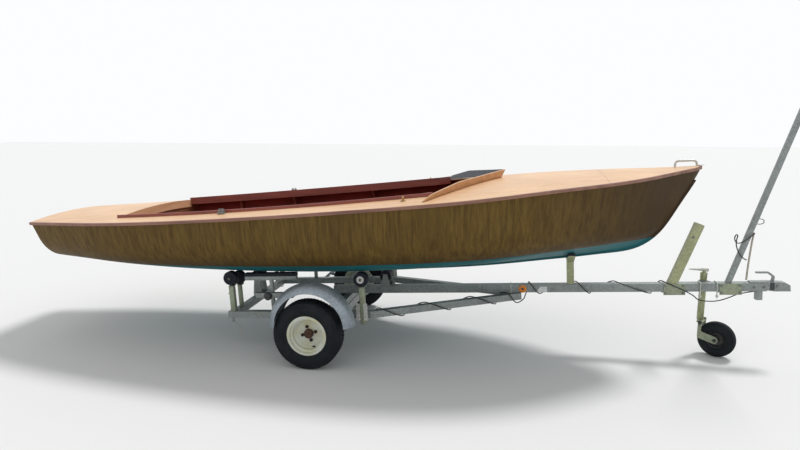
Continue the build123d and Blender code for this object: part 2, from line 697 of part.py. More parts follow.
HUB_INNER = DISC_INSET + RIM_SHEET
for side, hand in (("starboard", -1), ("port", 1)):
    # Trailing arm and stub axle
    arm_in, arm_out = AXLE_HALF + SEAT_GAP, AXLE_HALF + SEAT_GAP + ARM_PLATE
    with BuildPart() as arm:
        with BuildSketch(Plane.XZ.offset(-hand * arm_in)):
            with Locations((AXLE_X, axle_z)):
                Circle(ARM_HEIGHT / 2 + 4)
            with Locations((0, TYRE_RADIUS)):
                Circle(ARM_HEIGHT / 2 - 4)
            make_hull()
        extrude(amount=-hand * ARM_PLATE)
        with BuildSketch(Plane.XZ.offset(-hand * arm_out)):
            with Locations((0, TYRE_RADIUS)):
                Circle(STUB_RADIUS + 6)
        extrude(amount=-hand * (TRACK / 2 - HUB_LENGTH + HUB_OUT - 5 - arm_out))
        with BuildSketch(Plane.XZ.offset(-hand * arm_out)):
            with Locations((0, TYRE_RADIUS)):
                Circle(STUB_RADIUS)
        extrude(amount=-hand * (TRACK / 2 + HUB_OUT - 12 - arm_out))
    keep(f"suspension_arm_{side}", arm.part)

    # Wheel: hub, pressed rim and tyre, revolved about the stub
    spin = Axis((0, 0, TYRE_RADIUS), (0, 1, 0))
    centre = hand * TRACK / 2
    section = Plane(origin=(0, centre, TYRE_RADIUS), x_dir=(0, hand, 0), z_dir=(1, 0, 0))
    up = hand

    with BuildPart() as hub:
        with BuildSketch(section):
            with BuildLine():
                Polyline(
                    (HUB_OUT - HUB_LENGTH, up * (STUB_RADIUS + 0.08)),
                    (HUB_OUT - HUB_LENGTH, up * HUB_RADIUS),
                    (DISC_INSET - 12, up * HUB_RADIUS),
                    (DISC_INSET - 12, up * HUB_FLANGE_RADIUS),
                    (DISC_INSET - SEAT_GAP, up * HUB_FLANGE_RADIUS),
                    (DISC_INSET - SEAT_GAP, up * (HUB_SPIGOT_RADIUS - SEAT_GAP)),
                    (HUB_OUT - 8, up * (HUB_SPIGOT_RADIUS - SEAT_GAP)),
                    (HUB_OUT, up * HUB_CAP_RADIUS),
                    (HUB_OUT, 0),
                    (HUB_OUT - 8, 0),
                    (HUB_OUT - 8, up * (STUB_RADIUS + 0.08)),
                    close=True,
                )
            make_face()
        revolve(axis=spin)
    keep(f"wheel_hub_{side}", hub.part)

    with BuildPart() as rim:
        half = TYRE_BEAD_WIDTH / 2 + RIM_FLANGE_THICKNESS
        with BuildSketch(section):
            with BuildLine():
                Polyline(
                    (DISC_INSET, up * HUB_SPIGOT_RADIUS),
                    (DISC_INSET, up * DISC_RADIUS),
                    (-2, up * (RIM_WELL_RADIUS - RIM_SHEET)),
                    (-30, up * (RIM_WELL_RADIUS - RIM_SHEET)),
                    (-38, up * (RIM_RADIUS - RIM_SHEET)),
                    (-half, up * (RIM_RADIUS - RIM_SHEET)),
                    (-half, up * RIM_FLANGE_RADIUS),
                    (-half + RIM_FLANGE_THICKNESS, up * RIM_FLANGE_RADIUS),
                    (-half + RIM_FLANGE_THICKNESS, up * RIM_RADIUS),
                    (-34, up * RIM_RADIUS),
                    (-26, up * RIM_WELL_RADIUS),
                    (26, up * RIM_WELL_RADIUS),
                    (34, up * RIM_RADIUS),
                    (half - RIM_FLANGE_THICKNESS, up * RIM_RADIUS),
                    (half - RIM_FLANGE_THICKNESS, up * RIM_FLANGE_RADIUS),
                    (half, up * RIM_FLANGE_RADIUS),
                    (half, up * (RIM_RADIUS - RIM_SHEET)),
                    (38, up * (RIM_RADIUS - RIM_SHEET)),
                    (30, up * (RIM_WELL_RADIUS - RIM_SHEET)),
                    (6, up * (RIM_WELL_RADIUS - RIM_SHEET)),
                    (DISC_INSET + RIM_SHEET, up * (DISC_RADIUS - 2)),
                    (DISC_INSET + RIM_SHEET, up * HUB_SPIGOT_RADIUS),
                    close=True,
                )
            make_face()
        revolve(axis=spin)
    keep(f"wheel_rim_{side}", rim.part)

    with BuildPart() as tyre:
        bead = TYRE_BEAD_WIDTH / 2 - SEAT_GAP
        seat = RIM_RADIUS + SEAT_GAP
        with BuildSketch(section):
            with BuildLine():
                Line((-bead, up * seat), (bead, up * seat))
                Line((bead, up * seat), (bead, up * (seat + 14)))
                ThreePointArc(
                    (bead, up * (seat + 14)), (TYRE_WIDTH / 2, up * (seat + 56)),
                    (TYRE_WIDTH / 2 - 12, up * (TYRE_RADIUS - 14)),
                )
                ThreePointArc(
                    (TYRE_WIDTH / 2 - 12, up * (TYRE_RADIUS - 14)), (0, up * TYRE_RADIUS),
                    (12 - TYRE_WIDTH / 2, up * (TYRE_RADIUS - 14)),
                )
                ThreePointArc(
                    (12 - TYRE_WIDTH / 2, up * (TYRE_RADIUS - 14)), (-TYRE_WIDTH / 2, up * (seat + 56)),
                    (-bead, up * (seat + 14)),
                )
                Line((-bead, up * (seat + 14)), (-bead, up * seat))
            make_face()
        revolve(axis=spin)
    keep(f"wheel_tyre_{side}", tyre.part)

    # Crowned mudguard
    with BuildPart() as guard:
        middle = hand * TRACK / 2
        with BuildSketch(Plane(origin=(GUARD_CENTRE[0], 0, GUARD_CENTRE[1]))):
            with BuildLine():
                skins = []
                for sheet in (0, GUARD_SHEET):
                    skins.append(ThreePointArc(
                        (GUARD_EDGE_RADIUS - sheet, middle - GUARD_WIDTH / 2),
                        (GUARD_CREST_RADIUS - sheet, middle),
                        (GUARD_EDGE_RADIUS - sheet, middle + GUARD_WIDTH / 2),
                    ))
                Line(skins[0] @ 0, skins[1] @ 0)
                Line(skins[0] @ 1, skins[1] @ 1)
            make_face()
        revolve(
            axis=Axis((GUARD_CENTRE[0], 0, GUARD_CENTRE[1]), (0, -1, 0)), revolution_arc=GUARD_SWEEP,
        )
    keep(f"mudguard_{side}", guard.part)

# Flat stays carry the mudguards
with BuildPart() as stays:
    inboard = SIDE_BEAM_Y + SIDE_BEAM / 2 + SEAT_GAP
    outboard = TRACK / 2 + 14
    for hand in (-1, 1):
        for end in (1, -1):
            x = GUARD_CENTRE[0] + end * (GUARD_CREST_RADIUS + SEAT_GAP + STAY_THICKNESS / 2)
            with Locations((x, hand * (inboard + outboard) / 2, STAY_Z)):
                Box(STAY_THICKNESS, outboard - inboard, STAY_HEIGHT)
keep("mudguard_stays", stays.part)

# Hull rollers on posts, and a padded bunk between them
ROLLER_SPOTS = (
    # x, y, foot height of the post
    (MID_POST_X, SIDE_BEAM_Y + SIDE_BEAM / 2 + POST / 2 + SEAT_GAP, SIDE_BEAM_TOP - SIDE_BEAM - 30),
    (REAR_POST_X, SIDE_BEAM_Y, SIDE_BEAM_TOP + SEAT_GAP),
    (REAR_POST_X, SIDE_BEAM_Y - 130, SIDE_BEAM_TOP + SEAT_GAP),
)
ROLLER_HEIGHTS = [
    lowest_hull(x, y, 10, ROLLER_WIDTH) - SEAT_GAP - ROLLER_RADIUS for x, y, foot in ROLLER_SPOTS
]
bunk_top = lowest_hull(BUNK_POST_X, SIDE_BEAM_Y, BUNK_LENGTH, BUNK_WIDTH) - SEAT_GAP
with BuildPart() as posts:
    for (x, y, foot), axle_height in zip(ROLLER_SPOTS, ROLLER_HEIGHTS):
        post_top = axle_height - ROLLER_RADIUS - 4
        cheek = y - ROLLER_WIDTH / 2 - 5
        for hand in (-1, 1):
            with Locations((x, hand * y, (foot + post_top) / 2)):
                Box(POST, POST, post_top - foot)
                Box(POST - 2 * POST_WALL, POST - 2 * POST_WALL, post_top - foot, mode=Mode.SUBTRACT)
            with Locations((x, hand * cheek, (post_top + axle_height - 14) / 2)):
                Box(POST, 6, axle_height + 46 - post_top)
            with BuildSketch(Plane.XZ.offset(-hand * cheek)):
                with Locations((x, axle_height)):
                    Circle(ROLLER_SHAFT_RADIUS)
            extrude(amount=-hand * (ROLLER_WIDTH + 8))
    foot, rail_z = SIDE_BEAM_TOP + SEAT_GAP, bunk_top - BUNK_PAD - SEAT_GAP
    for hand in (-1, 1):
        with Locations((BUNK_POST_X, hand * SIDE_BEAM_Y, (foot + rail_z - 30) / 2)):
            Box(BUNK_POST, BUNK_POST, rail_z - 30 - foot)
        with Locations((BUNK_POST_X, hand * SIDE_BEAM_Y, rail_z - 15)):
            Box(BUNK_LENGTH, BUNK_WIDTH - 8, 30)
keep("support_posts", posts.part)

with BuildPart() as bunk_pads:
    for hand in (-1, 1):
        with Locations((BUNK_POST_X, hand * SIDE_BEAM_Y, bunk_top - BUNK_PAD / 2)):
            Box(BUNK_LENGTH, BUNK_WIDTH, BUNK_PAD)
keep("bunk_pads", bunk_pads.part)

with BuildPart() as rollers:
    for (x, y, foot), height in zip(ROLLER_SPOTS, ROLLER_HEIGHTS):
        for hand in (-1, 1):
            with BuildSketch(Plane.XZ.offset(-hand * (y - ROLLER_WIDTH / 2))):
                with Locations((x, height)):
                    Circle(ROLLER_RADIUS)
                    Circle(ROLLER_SHAFT_RADIUS + SEAT_GAP, mode=Mode.SUBTRACT)
            extrude(amount=-hand * ROLLER_WIDTH)
keep("hull_rollers", rollers.part)

# Keel rollers in brackets on the drawbar and the rear cross-member
KEEL_SEATS = ((KEEL_ROLLER_X, DRAWBAR_TOP), (CROSS_X, SIDE_BEAM_TOP))
KEEL_HEIGHTS = [
    lowest_hull(x, 0, 10, KEEL_STRIP_WIDTH) - KEEL_STRIP_DEPTH - 1 - KEEL_ROLLER_RADIUS
    for x, base in KEEL_SEATS
]
with BuildPart() as keel_brackets:
    for (x, base), height in zip(KEEL_SEATS, KEEL_HEIGHTS):
        with Locations((x, 0, base + SEAT_GAP + 3)):
            Box(76, KEEL_ROLLER_LENGTH + 2 * KEEL_CHEEK + 4, 6)
        for hand in (-1, 1):
            with BuildSketch(Plane.XZ.offset(-hand * (KEEL_ROLLER_LENGTH / 2 + 2))):
                with BuildLine():
                    Polyline(
                        (x - 38, base + SEAT_GAP), (x + 38, base + SEAT_GAP),
                        (x + 16, height + 18), (x - 16, height + 18), close=True,
                    )
                make_face()
            extrude(amount=-hand * KEEL_CHEEK)
        with Locations(Location((x, 0, height), (90, 0, 0))):
            Cylinder(radius=ROLLER_SHAFT_RADIUS, height=KEEL_ROLLER_LENGTH + 2 * KEEL_CHEEK + 12)
keep("keel_roller_brackets", keel_brackets.part)

with BuildPart() as keel_rollers:
    for (x, base), height in zip(KEEL_SEATS, KEEL_HEIGHTS):
        with BuildSketch(Plane.XZ.offset(-KEEL_ROLLER_LENGTH / 2)):
            with Locations((x, height)):
                Circle(KEEL_ROLLER_RADIUS)
                Circle(ROLLER_SHAFT_RADIUS + SEAT_GAP, mode=Mode.SUBTRACT)
        extrude(amount=KEEL_ROLLER_LENGTH)
keep("keel_rollers", keel_rollers.part)

# Vee support under the bow
pad_inner = lowest_hull(BOW_SUPPORT_X, VEE_INNER, VEE_LENGTH, 8) - SEAT_GAP
pad_outer = lowest_hull(BOW_SUPPORT_X, VEE_OUTER, VEE_LENGTH, 8) - SEAT_GAP
with BuildPart() as bow_pads:
    for hand in (-1, 1):
        with BuildSketch(Plane.YZ.offset(BOW_SUPPORT_X - VEE_LENGTH / 2)):
            with BuildLine():
                Polyline(
                    (hand * VEE_INNER, pad_inner), (hand * VEE_OUTER, pad_outer),
                    (hand * VEE_OUTER, pad_outer - VEE_PAD), (hand * VEE_INNER, pad_inner - VEE_PAD),
                    close=True,
                )
            make_face()
        extrude(amount=VEE_LENGTH)
keep("bow_support_pads", bow_pads.part)

with BuildPart() as bow_support:
    under = VEE_PAD + SEAT_GAP
    with BuildSketch(Plane.YZ.offset(BOW_SUPPORT_X - VEE_LENGTH / 2)):
        with BuildLine():
            Polyline(
                (-VEE_OUTER, pad_outer - under), (-VEE_INNER, pad_inner - under),
                (VEE_INNER, pad_inner - under), (VEE_OUTER, pad_outer - under),
                (VEE_OUTER, pad_outer - under - 8), (VEE_INNER, pad_inner - under - 30),
                (-VEE_INNER, pad_inner - under - 30), (-VEE_OUTER, pad_outer - under - 8),
                close=True,
            )
        make_face()
    extrude(amount=VEE_LENGTH)
    foot = DRAWBAR_TOP + SEAT_GAP
    with Locations((BOW_SUPPORT_X, 0, (foot + pad_inner - under - 20) / 2)):
        Box(VEE_LENGTH, VEE_LENGTH, pad_inner - under - 20 - foot)
keep("bow_keel_support", bow_support.part)


def leaning_post(x, length, lean):
    """A square tube on the drawbar, leaning forward, cut level at its foot."""
    with BuildPart() as post:
        add(Pos(x, 0, DRAWBAR_TOP) * Rot(0, lean - 90, 0) * Pos(-BEAM, 0, 0) * square_tube(length + BEAM))
        split(bisect_by=Plane.XY.offset(DRAWBAR_TOP + SEAT_GAP), keep=Keep.TOP)
    return post.part


keep("bow_post", leaning_post(BOW_POST_X, BOW_POST_LENGTH, BOW_POST_LEAN))
keep("mast_pole", leaning_post(MAST_POLE_X, MAST_POLE_LENGTH, MAST_POLE_LEAN))

# Plates clamp both posts to the drawbar
with BuildPart() as clamp_plates:
    for x in (BOW_POST_X, MAST_POLE_X):
        for hand in (-1, 1):
            with Locations((x + 20, hand * (BEAM / 2 + SEAT_GAP + CLAMP_PLATE / 2), DRAWBAR_TOP)):
                Box(CLAMP_LENGTH, CLAMP_PLATE, CLAMP_HEIGHT)
keep("clamp_plates", clamp_plates.part)

# Forked crutch on top of the pole carries the lowered mast
crutch_place = Pos(MAST_POLE_X, 0, DRAWBAR_TOP) * Rot(0, MAST_POLE_LEAN, 0) * Pos(0, 0, MAST_POLE_LENGTH)
with BuildPart() as crutch:
    wall = CRUTCH_THICKNESS
    with BuildSketch(Plane.YZ.offset(-BEAM / 2)):
        with BuildLine():
            FilletPolyline(
                (-CRUTCH_WIDTH / 2, CRUTCH_HEIGHT), (-CRUTCH_WIDTH / 2, SEAT_GAP),
                (CRUTCH_WIDTH / 2, SEAT_GAP), (CRUTCH_WIDTH / 2, CRUTCH_HEIGHT), radius=20,
            )
            FilletPolyline(
                (-CRUTCH_WIDTH / 2 + wall, CRUTCH_HEIGHT), (-CRUTCH_WIDTH / 2 + wall, SEAT_GAP + wall),
                (CRUTCH_WIDTH / 2 - wall, SEAT_GAP + wall), (CRUTCH_WIDTH / 2 - wall, CRUTCH_HEIGHT),
                radius=20 - wall,
            )
            for hand in (-1, 1):
                Line((hand * CRUTCH_WIDTH / 2, CRUTCH_HEIGHT), (hand * (CRUTCH_WIDTH / 2 - wall), CRUTCH_HEIGHT))
        make_face()
    extrude(amount=BEAM)
keep("mast_crutch", crutch_place * crutch.part)

# Coupling head with its ball socket and lever
low = DRAWBAR_TOP - BEAM - 2
high = DRAWBAR_TOP + SEAT_GAP
with BuildPart() as coupling:
    with BuildSketch(Plane.XZ.offset(-COUPLING_WIDTH / 2)):
        with BuildLine():
            Polyline(
                (COUPLING_NOSE_X, low), (DRAWBAR_FORE + 50, low), (DRAWBAR_FORE + SEAT_GAP, low + 8),
                (DRAWBAR_FORE + SEAT_GAP, high), (DRAWBAR_FORE - 110, high), (DRAWBAR_FORE - 110, high + 8),
                (DRAWBAR_FORE + 10, high + 8), (COUPLING_NOSE_X - 40, high + 2),
                (COUPLING_NOSE_X - 4, low + 44), close=True,
            )
        make_face()
    extrude(amount=COUPLING_WIDTH)
    with Locations((COUPLING_SOCKET_X, 0, low + COUPLING_SOCKET_DEPTH / 2)):
        Cylinder(radius=COUPLING_SOCKET_RADIUS, height=COUPLING_SOCKET_DEPTH, mode=Mode.SUBTRACT)
    with Locations((COUPLING_SOCKET_X, 0, low + COUPLING_SOCKET_DEPTH)):
        Sphere(radius=COUPLING_SOCKET_RADIUS, mode=Mode.SUBTRACT)
    with BuildSketch(Plane.XZ.offset(-11)):
        with BuildLine():
            FilletPolyline(
                (3240, 400), (3246, 440), (3205, 474), (3122, 474), radius=18,
            )
            Line((3122, 474), (3122, 463))
            FilletPolyline((3122, 463), (3198, 462), (3232, 434), (3222, 400), radius=12)
            Line((3222, 400), (3240, 400))
        make_face()
    extrude(amount=22)
keep("coupling", coupling.part)

with BuildPart() as reflectors:
    for hand in (-1, 1):
        with BuildSketch(Plane.XZ.offset(-hand * (BEAM / 2 + SEAT_GAP))):
            with Locations((REFLECTOR_X, DRAWBAR_TOP - BEAM / 2)):
                Circle(min(REFLECTOR_RADIUS, BEAM / 2))
        extrude(amount=-hand * REFLECTOR_THICKNESS)
keep("side_reflectors", reflectors.part)

# Jockey wheel, drawn as it stands on the floor
jockey_hub = (PARK * Pos(JOCKEY_AXLE_X, 0, JOCKEY_AXLE_Z)).position
turn = radians(JOCKEY_TURN)
tube_x = jockey_hub.X - JOCKEY_TRAIL * cos(turn)
hub_y = JOCKEY_TUBE_Y + JOCKEY_TRAIL * sin(turn)
SWIVEL = Pos(tube_x, JOCKEY_TUBE_Y, 0) * Rot(0, 0, JOCKEY_TURN)
print("jockey hub height", jockey_hub.Z, "tube", tube_x, JOCKEY_TUBE_Y, "hub y", hub_y)

with BuildPart() as jockey_tube:
    with Locations((0, 0, JOCKEY_TUBE_FOOT_Z + JOCKEY_TUBE_LENGTH / 2)):
        Cylinder(radius=JOCKEY_TUBE_RADIUS, height=JOCKEY_TUBE_LENGTH)
        Cylinder(
            radius=JOCKEY_TUBE_RADIUS - JOCKEY_TUBE_WALL, height=JOCKEY_TUBE_LENGTH, mode=Mode.SUBTRACT,
        )
    top = JOCKEY_TUBE_FOOT_Z + JOCKEY_TUBE_LENGTH
    with Locations((0, 0, top + 5)):
        Cylinder(radius=JOCKEY_TUBE_RADIUS, height=10)
    with Locations((0, 0, top + 20)):
        Cylinder(radius=8, height=24)
    with Locations((-55, 0, top + 30)):
        Box(126, 16, 6)
    with Locations((-108, 0, top + 55)):
        Cylinder(radius=10, height=56)
keep("jockey_tube", Pos(tube_x, JOCKEY_TUBE_Y, 0) * jockey_tube.part, parked=False)

with BuildPart() as jockey_clamp:
    clamp_z = (PARK * Pos(tube_x, 0, DRAWBAR_TOP - BEAM / 2)).position.Z
    near, far = BEAM / 2 + SEAT_GAP - JOCKEY_TUBE_Y, -JOCKEY_TUBE_RADIUS - 3
    with Locations((0, (near + far) / 2, clamp_z)):
        Box(70, far - near, 70)
    with Locations((-40, 16, clamp_z)):
        Box(40, 8, 24)
    with Locations((0, 0, clamp_z)):
        Cylinder(radius=JOCKEY_TUBE_RADIUS + 8, height=56)
        Cylinder(radius=JOCKEY_TUBE_RADIUS + SEAT_GAP, height=80, mode=Mode.SUBTRACT)
keep("jockey_clamp", Pos(tube_x, JOCKEY_TUBE_Y, 0) * jockey_clamp.part, parked=False)

with BuildPart() as jockey_fork:
    crown = JOCKEY_RADIUS * 2 - 18
    with Locations((0, 0, (crown + JOCKEY_TUBE_FOOT_Z + 150) / 2)):
        Cylinder(
            radius=JOCKEY_TUBE_RADIUS - JOCKEY_TUBE_WALL - RUNNING_GAP,
            height=JOCKEY_TUBE_FOOT_Z + 150 - crown,
        )
    inside = JOCKEY_WIDTH / 2 + 7
    with Locations((0, 0, crown + 3)):
        Box(58, 2 * inside + 10, 6)
    for hand in (-1, 1):
        with BuildSketch(Plane.XZ.offset(-hand * inside)):
            with BuildLine():
                Polyline(
                    (-29, crown + 6), (29, crown + 6), (JOCKEY_TRAIL + 16, JOCKEY_RADIUS + 8),
                    (JOCKEY_TRAIL + 16, JOCKEY_RADIUS - 14), (JOCKEY_TRAIL - 16, JOCKEY_RADIUS - 14),
                    (-29, crown - 24), close=True,
                )
            make_face()
        extrude(amount=-hand * 5)
    with Locations(Location((JOCKEY_TRAIL, 0, JOCKEY_RADIUS), (90, 0, 0))):
        Cylinder(radius=JOCKEY_AXLE_RADIUS, height=2 * inside + 26)
keep("jockey_fork", SWIVEL * jockey_fork.part, parked=False)

spin = Axis((JOCKEY_TRAIL, 0, JOCKEY_RADIUS), (0, 1, 0))
section = Plane(origin=(JOCKEY_TRAIL, 0, JOCKEY_RADIUS), x_dir=(0, 1, 0), z_dir=(1, 0, 0))
with BuildPart() as jockey_rim:
    with BuildSketch(section):
        with BuildLine():
            Polyline(
                (-42, JOCKEY_AXLE_RADIUS + 0.08), (42, JOCKEY_AXLE_RADIUS + 0.08), (42, 16), (20, 16), (8, 26),
                (8, 46), (26, 56), (32, JOCKEY_RIM_RADIUS), (-32, JOCKEY_RIM_RADIUS), (-26, 56), (-8, 46),
                (-8, 26), (-20, 16), (-42, 16), close=True,
            )
        make_face()
    revolve(axis=spin)
keep("jockey_rim", SWIVEL * jockey_rim.part, parked=False)

with BuildPart() as jockey_tyre:
    foot, half = JOCKEY_RIM_RADIUS + SEAT_GAP, JOCKEY_WIDTH / 2
    with BuildSketch(section):
        with BuildLine():
            Line((-30, foot), (30, foot))
            ThreePointArc((30, foot), (half, foot + 30), (26, JOCKEY_RADIUS - 8))
            ThreePointArc((26, JOCKEY_RADIUS - 8), (0, JOCKEY_RADIUS), (-26, JOCKEY_RADIUS - 8))
            ThreePointArc((-26, JOCKEY_RADIUS - 8), (-half, foot + 30), (-30, foot))
        make_face()
    revolve(axis=spin)
keep("jockey_tyre", SWIVEL * jockey_tyre.part, parked=False)

# Origin on the floor under the middle of the overall length
boxes = [part.bounding_box() for part in pieces.values()]
middle = (min(box.min.X for box in boxes) + max(box.max.X for box in boxes)) / 2
print("overall", min(box.min.X for box in boxes), max(box.max.X for box in boxes), "shift", middle)
for name, part in pieces.items():
    placed = Pos(-middle, 0, 0) * part
    placed.label = name
    export_step(placed, f"parts/{name}.step")
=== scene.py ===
"""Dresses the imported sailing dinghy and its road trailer, and lights them in a plain studio.

New pieces are drawn in the trailer's own level frame, in metres, with X to the bow, and are
then carried into the parked, nose-up attitude by the PARKED matrix.
"""
import logging
import math
from dataclasses import dataclass
from enum import Enum
from typing import Callable, Iterable, Sequence

import bmesh
import bpy
from mathutils import Matrix, Vector


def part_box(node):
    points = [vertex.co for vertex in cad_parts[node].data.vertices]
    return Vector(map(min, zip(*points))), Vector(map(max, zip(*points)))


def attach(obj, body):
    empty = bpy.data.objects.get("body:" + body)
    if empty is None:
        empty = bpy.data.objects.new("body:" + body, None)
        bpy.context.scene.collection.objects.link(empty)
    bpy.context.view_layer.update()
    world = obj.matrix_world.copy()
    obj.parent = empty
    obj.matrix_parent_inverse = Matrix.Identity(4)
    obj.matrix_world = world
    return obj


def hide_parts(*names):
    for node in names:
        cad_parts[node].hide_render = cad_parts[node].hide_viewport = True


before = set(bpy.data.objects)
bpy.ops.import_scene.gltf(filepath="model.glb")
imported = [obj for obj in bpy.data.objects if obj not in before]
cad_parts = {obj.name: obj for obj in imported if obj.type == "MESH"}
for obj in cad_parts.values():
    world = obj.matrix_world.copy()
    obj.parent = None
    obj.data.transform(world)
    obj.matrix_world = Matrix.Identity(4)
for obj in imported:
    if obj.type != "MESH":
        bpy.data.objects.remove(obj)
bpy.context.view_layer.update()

logging.basicConfig(level=logging.INFO, format="%(message)s")
log = logging.getLogger("dinghy")

Colour = tuple[float, float, float]
Point = tuple[float, float, float]

TYRE_RADIUS = 0.245
TILT = math.radians(3.2416)
HALF_TRACK = 0.739
MIDDLE = -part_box("wheel_tyre_starboard")[0].x - TYRE_RADIUS

PARKED = (
    Matrix.Translation((-MIDDLE, 0, TYRE_RADIUS))
    @ Matrix.Rotation(-TILT, 4, "Y")
    @ Matrix.Translation((0, 0, -TYRE_RADIUS))
)
LEVEL = PARKED.inverted()


class Side(Enum):
    """The two sides of the boat and trailer, seen facing forward."""

    STARBOARD = -1
    PORT = 1

    @property
    def label(self) -> str:
        """The side's name as the CAD nodes spell it."""
        return self.name.lower()


class Grain(Enum):
    """The way a timber's grain runs, as stretch factors on X, Y and Z."""

    FORE_AND_AFT = (0.05, 1.0, 1.0)
    ATHWART = (1.0, 0.05, 1.0)


class Graph:
    """A material's nodes, added and linked one at a time."""

    COAT_ROUGHNESS = 0.25
    MIX_SHARE, MIX_FIRST, MIX_SECOND, MIX_RESULT = 0, 6, 7, 2

    def __init__(self, name: str) -> None:
        """Starts a material with a plain Principled shader.

        Args:
            name: the material's name.
        """
        self.material = bpy.data.materials.new(name)
        self.material.use_nodes = True
        self.tree = self.material.node_tree
        self.shader = self.tree.nodes["Principled BSDF"]

    def add(self, kind: str, **values: object) -> bpy.types.Node:
        """Adds a node.

        Args:
            kind: the node's Blender type, without its ShaderNode prefix.
            values: node attributes to set.

        Returns:
            The new node.
        """
        node = self.tree.nodes.new("ShaderNode" + kind)
        for key, value in values.items():
            setattr(node, key, value)
        return node

    def feed(self, source: object, socket: bpy.types.NodeSocket) -> None:
        """Links an output to a socket, or sets the socket to a plain value.

        Args:
            source: an output socket, a number or a colour.
            socket: the input that takes it.
        """
        if isinstance(source, bpy.types.NodeSocket):
            self.tree.links.new(source, socket)
        elif socket.type == "RGBA" and len(source) == 3:
            socket.default_value = (*source, 1.0)
        else:
            socket.default_value = source

    def place(
        self, stretch: Sequence[float] = (1, 1, 1), turn: Sequence[float] = (0, 0, 0),
    ) -> object:
        """Object coordinates, stretched and turned.

        Args:
            stretch: scale along each axis.
            turn: turn about each axis, in radians.

        Returns:
            The mapped vector.
        """
        mapping = self.add("Mapping")
        self.feed(self.add("TexCoord").outputs["Object"], mapping.inputs["Vector"])
        mapping.inputs["Scale"].default_value = tuple(stretch)
        mapping.inputs["Rotation"].default_value = tuple(turn)
        return mapping.outputs["Vector"]

    def level(self) -> object:
        """Object coordinates turned back into the trailer's level frame."""
        mapping = self.add("Mapping")
        self.feed(self.add("TexCoord").outputs["Object"], mapping.inputs["Vector"])
        mapping.inputs["Rotation"].default_value = LEVEL.to_euler()
        mapping.inputs["Location"].default_value = LEVEL.to_translation()
        return mapping.outputs["Vector"]

    def level_normal(self) -> object:
        """The surface normal in the trailer's level frame."""
        mapping = self.add("Mapping", vector_type="NORMAL")
        self.feed(self.add("TexCoord").outputs["Normal"], mapping.inputs["Vector"])
        mapping.inputs["Rotation"].default_value = LEVEL.to_euler()
        return mapping.outputs["Vector"]

    def noise(
        self, vector: object, scale: float, detail: float = 4, rough: float = 0.55,
    ) -> object:
        """A noise value.

        Args:
            vector: where it is read.
            scale: features per metre.
            detail: number of finer layers.
            rough: how strong the finer layers are.

        Returns:
            The noise's value output.
        """
        node = self.add("TexNoise")
        self.feed(vector, node.inputs["Vector"])
        node.inputs["Scale"].default_value = scale
        node.inputs["Detail"].default_value = detail
        node.inputs["Roughness"].default_value = rough
        return node.outputs["Fac"]

    def cells(self, vector: object, scale: float) -> object:
        """A random grey for each cell of a Voronoi pattern.

        Args:
            vector: where it is read.
            scale: cells per metre.

        Returns:
            The grey value.
        """
        node = self.add("TexVoronoi")
        self.feed(vector, node.inputs["Vector"])
        node.inputs["Scale"].default_value = scale
        grey = self.add("RGBToBW")
        self.feed(node.outputs["Color"], grey.inputs["Color"])
        return grey.outputs["Val"]

    def ramp(self, value: object, *stops: tuple[float, Sequence[float]]) -> object:
        """Colours along a value.

        Args:
            value: the value that is read.
            stops: each a position and a colour.

        Returns:
            The colour output.
        """
        node = self.add("ValToRGB")
        self.feed(value, node.inputs["Fac"])
        elements = node.color_ramp.elements
        while len(elements) < len(stops):
            elements.new(0.5)
        for element, (position, colour) in zip(elements, stops):
            element.position = position
            element.color = (*colour, 1.0)
        return node.outputs["Color"]

    def step(self, value: object, low: float, high: float) -> object:
        """A mask that rises from 0 at low to 1 at high.

        Args:
            value: the value that is read.
            low: where the mask starts.
            high: where it is full.

        Returns:
            The mask.
        """
        node = self.add("MapRange")
        self.feed(value, node.inputs["Value"])
        node.inputs["From Min"].default_value = low
        node.inputs["From Max"].default_value = high
        return node.outputs["Result"]

    def mix(
        self, share: object, first: object, second: object, blend: str = "MIX",
    ) -> object:
        """Mixes two colours.

        Args:
            share: how much of the second.
            first: a colour or an output.
            second: a colour or an output.
            blend: Blender's blend type.

        Returns:
            The mixed colour.
        """
        node = self.add("Mix", data_type="RGBA", blend_type=blend)
        self.feed(share, node.inputs[self.MIX_SHARE])
        self.feed(first, node.inputs[self.MIX_FIRST])
        self.feed(second, node.inputs[self.MIX_SECOND])
        return node.outputs[self.MIX_RESULT]

    def sum(self, operation: str, first: object, second: object) -> object:
        """One arithmetic step.

        Args:
            operation: Blender's Math operation.
            first: a value or an output.
            second: a value or an output.

        Returns:
            The result.
        """
        node = self.add("Math", operation=operation)
        self.feed(first, node.inputs[0])
        self.feed(second, node.inputs[1])
        return node.outputs[0]

    def part(self, value: object, share: float) -> object:
        """A value times a share."""
        return self.sum("MULTIPLY", value, share)

    def scaled(self, value: object, span: float, start: float) -> object:
        """A value that runs from a start over a span as the given one runs from 0 to 1."""
        return self.sum("ADD", self.part(value, span), start)

    @staticmethod
    def shade(colour: Colour, factor: float, lift: float = 0.0) -> Colour:
        """A darker or paler colour.

        Args:
            colour: the colour that is changed.
            factor: what each of its values is multiplied by.
            lift: what is then added to each.

        Returns:
            The new colour, with no value over 1.
        """
        return tuple(min(1.0, value * factor + lift) for value in colour)

    def axes(self, vector: object) -> tuple[object, object, object]:
        """The three values of a vector.

        Args:
            vector: the vector that is read.

        Returns:
            Its X, Y and Z.
        """
        node = self.add("SeparateXYZ")
        self.feed(vector, node.inputs[0])
        return node.outputs[0], node.outputs[1], node.outputs[2]

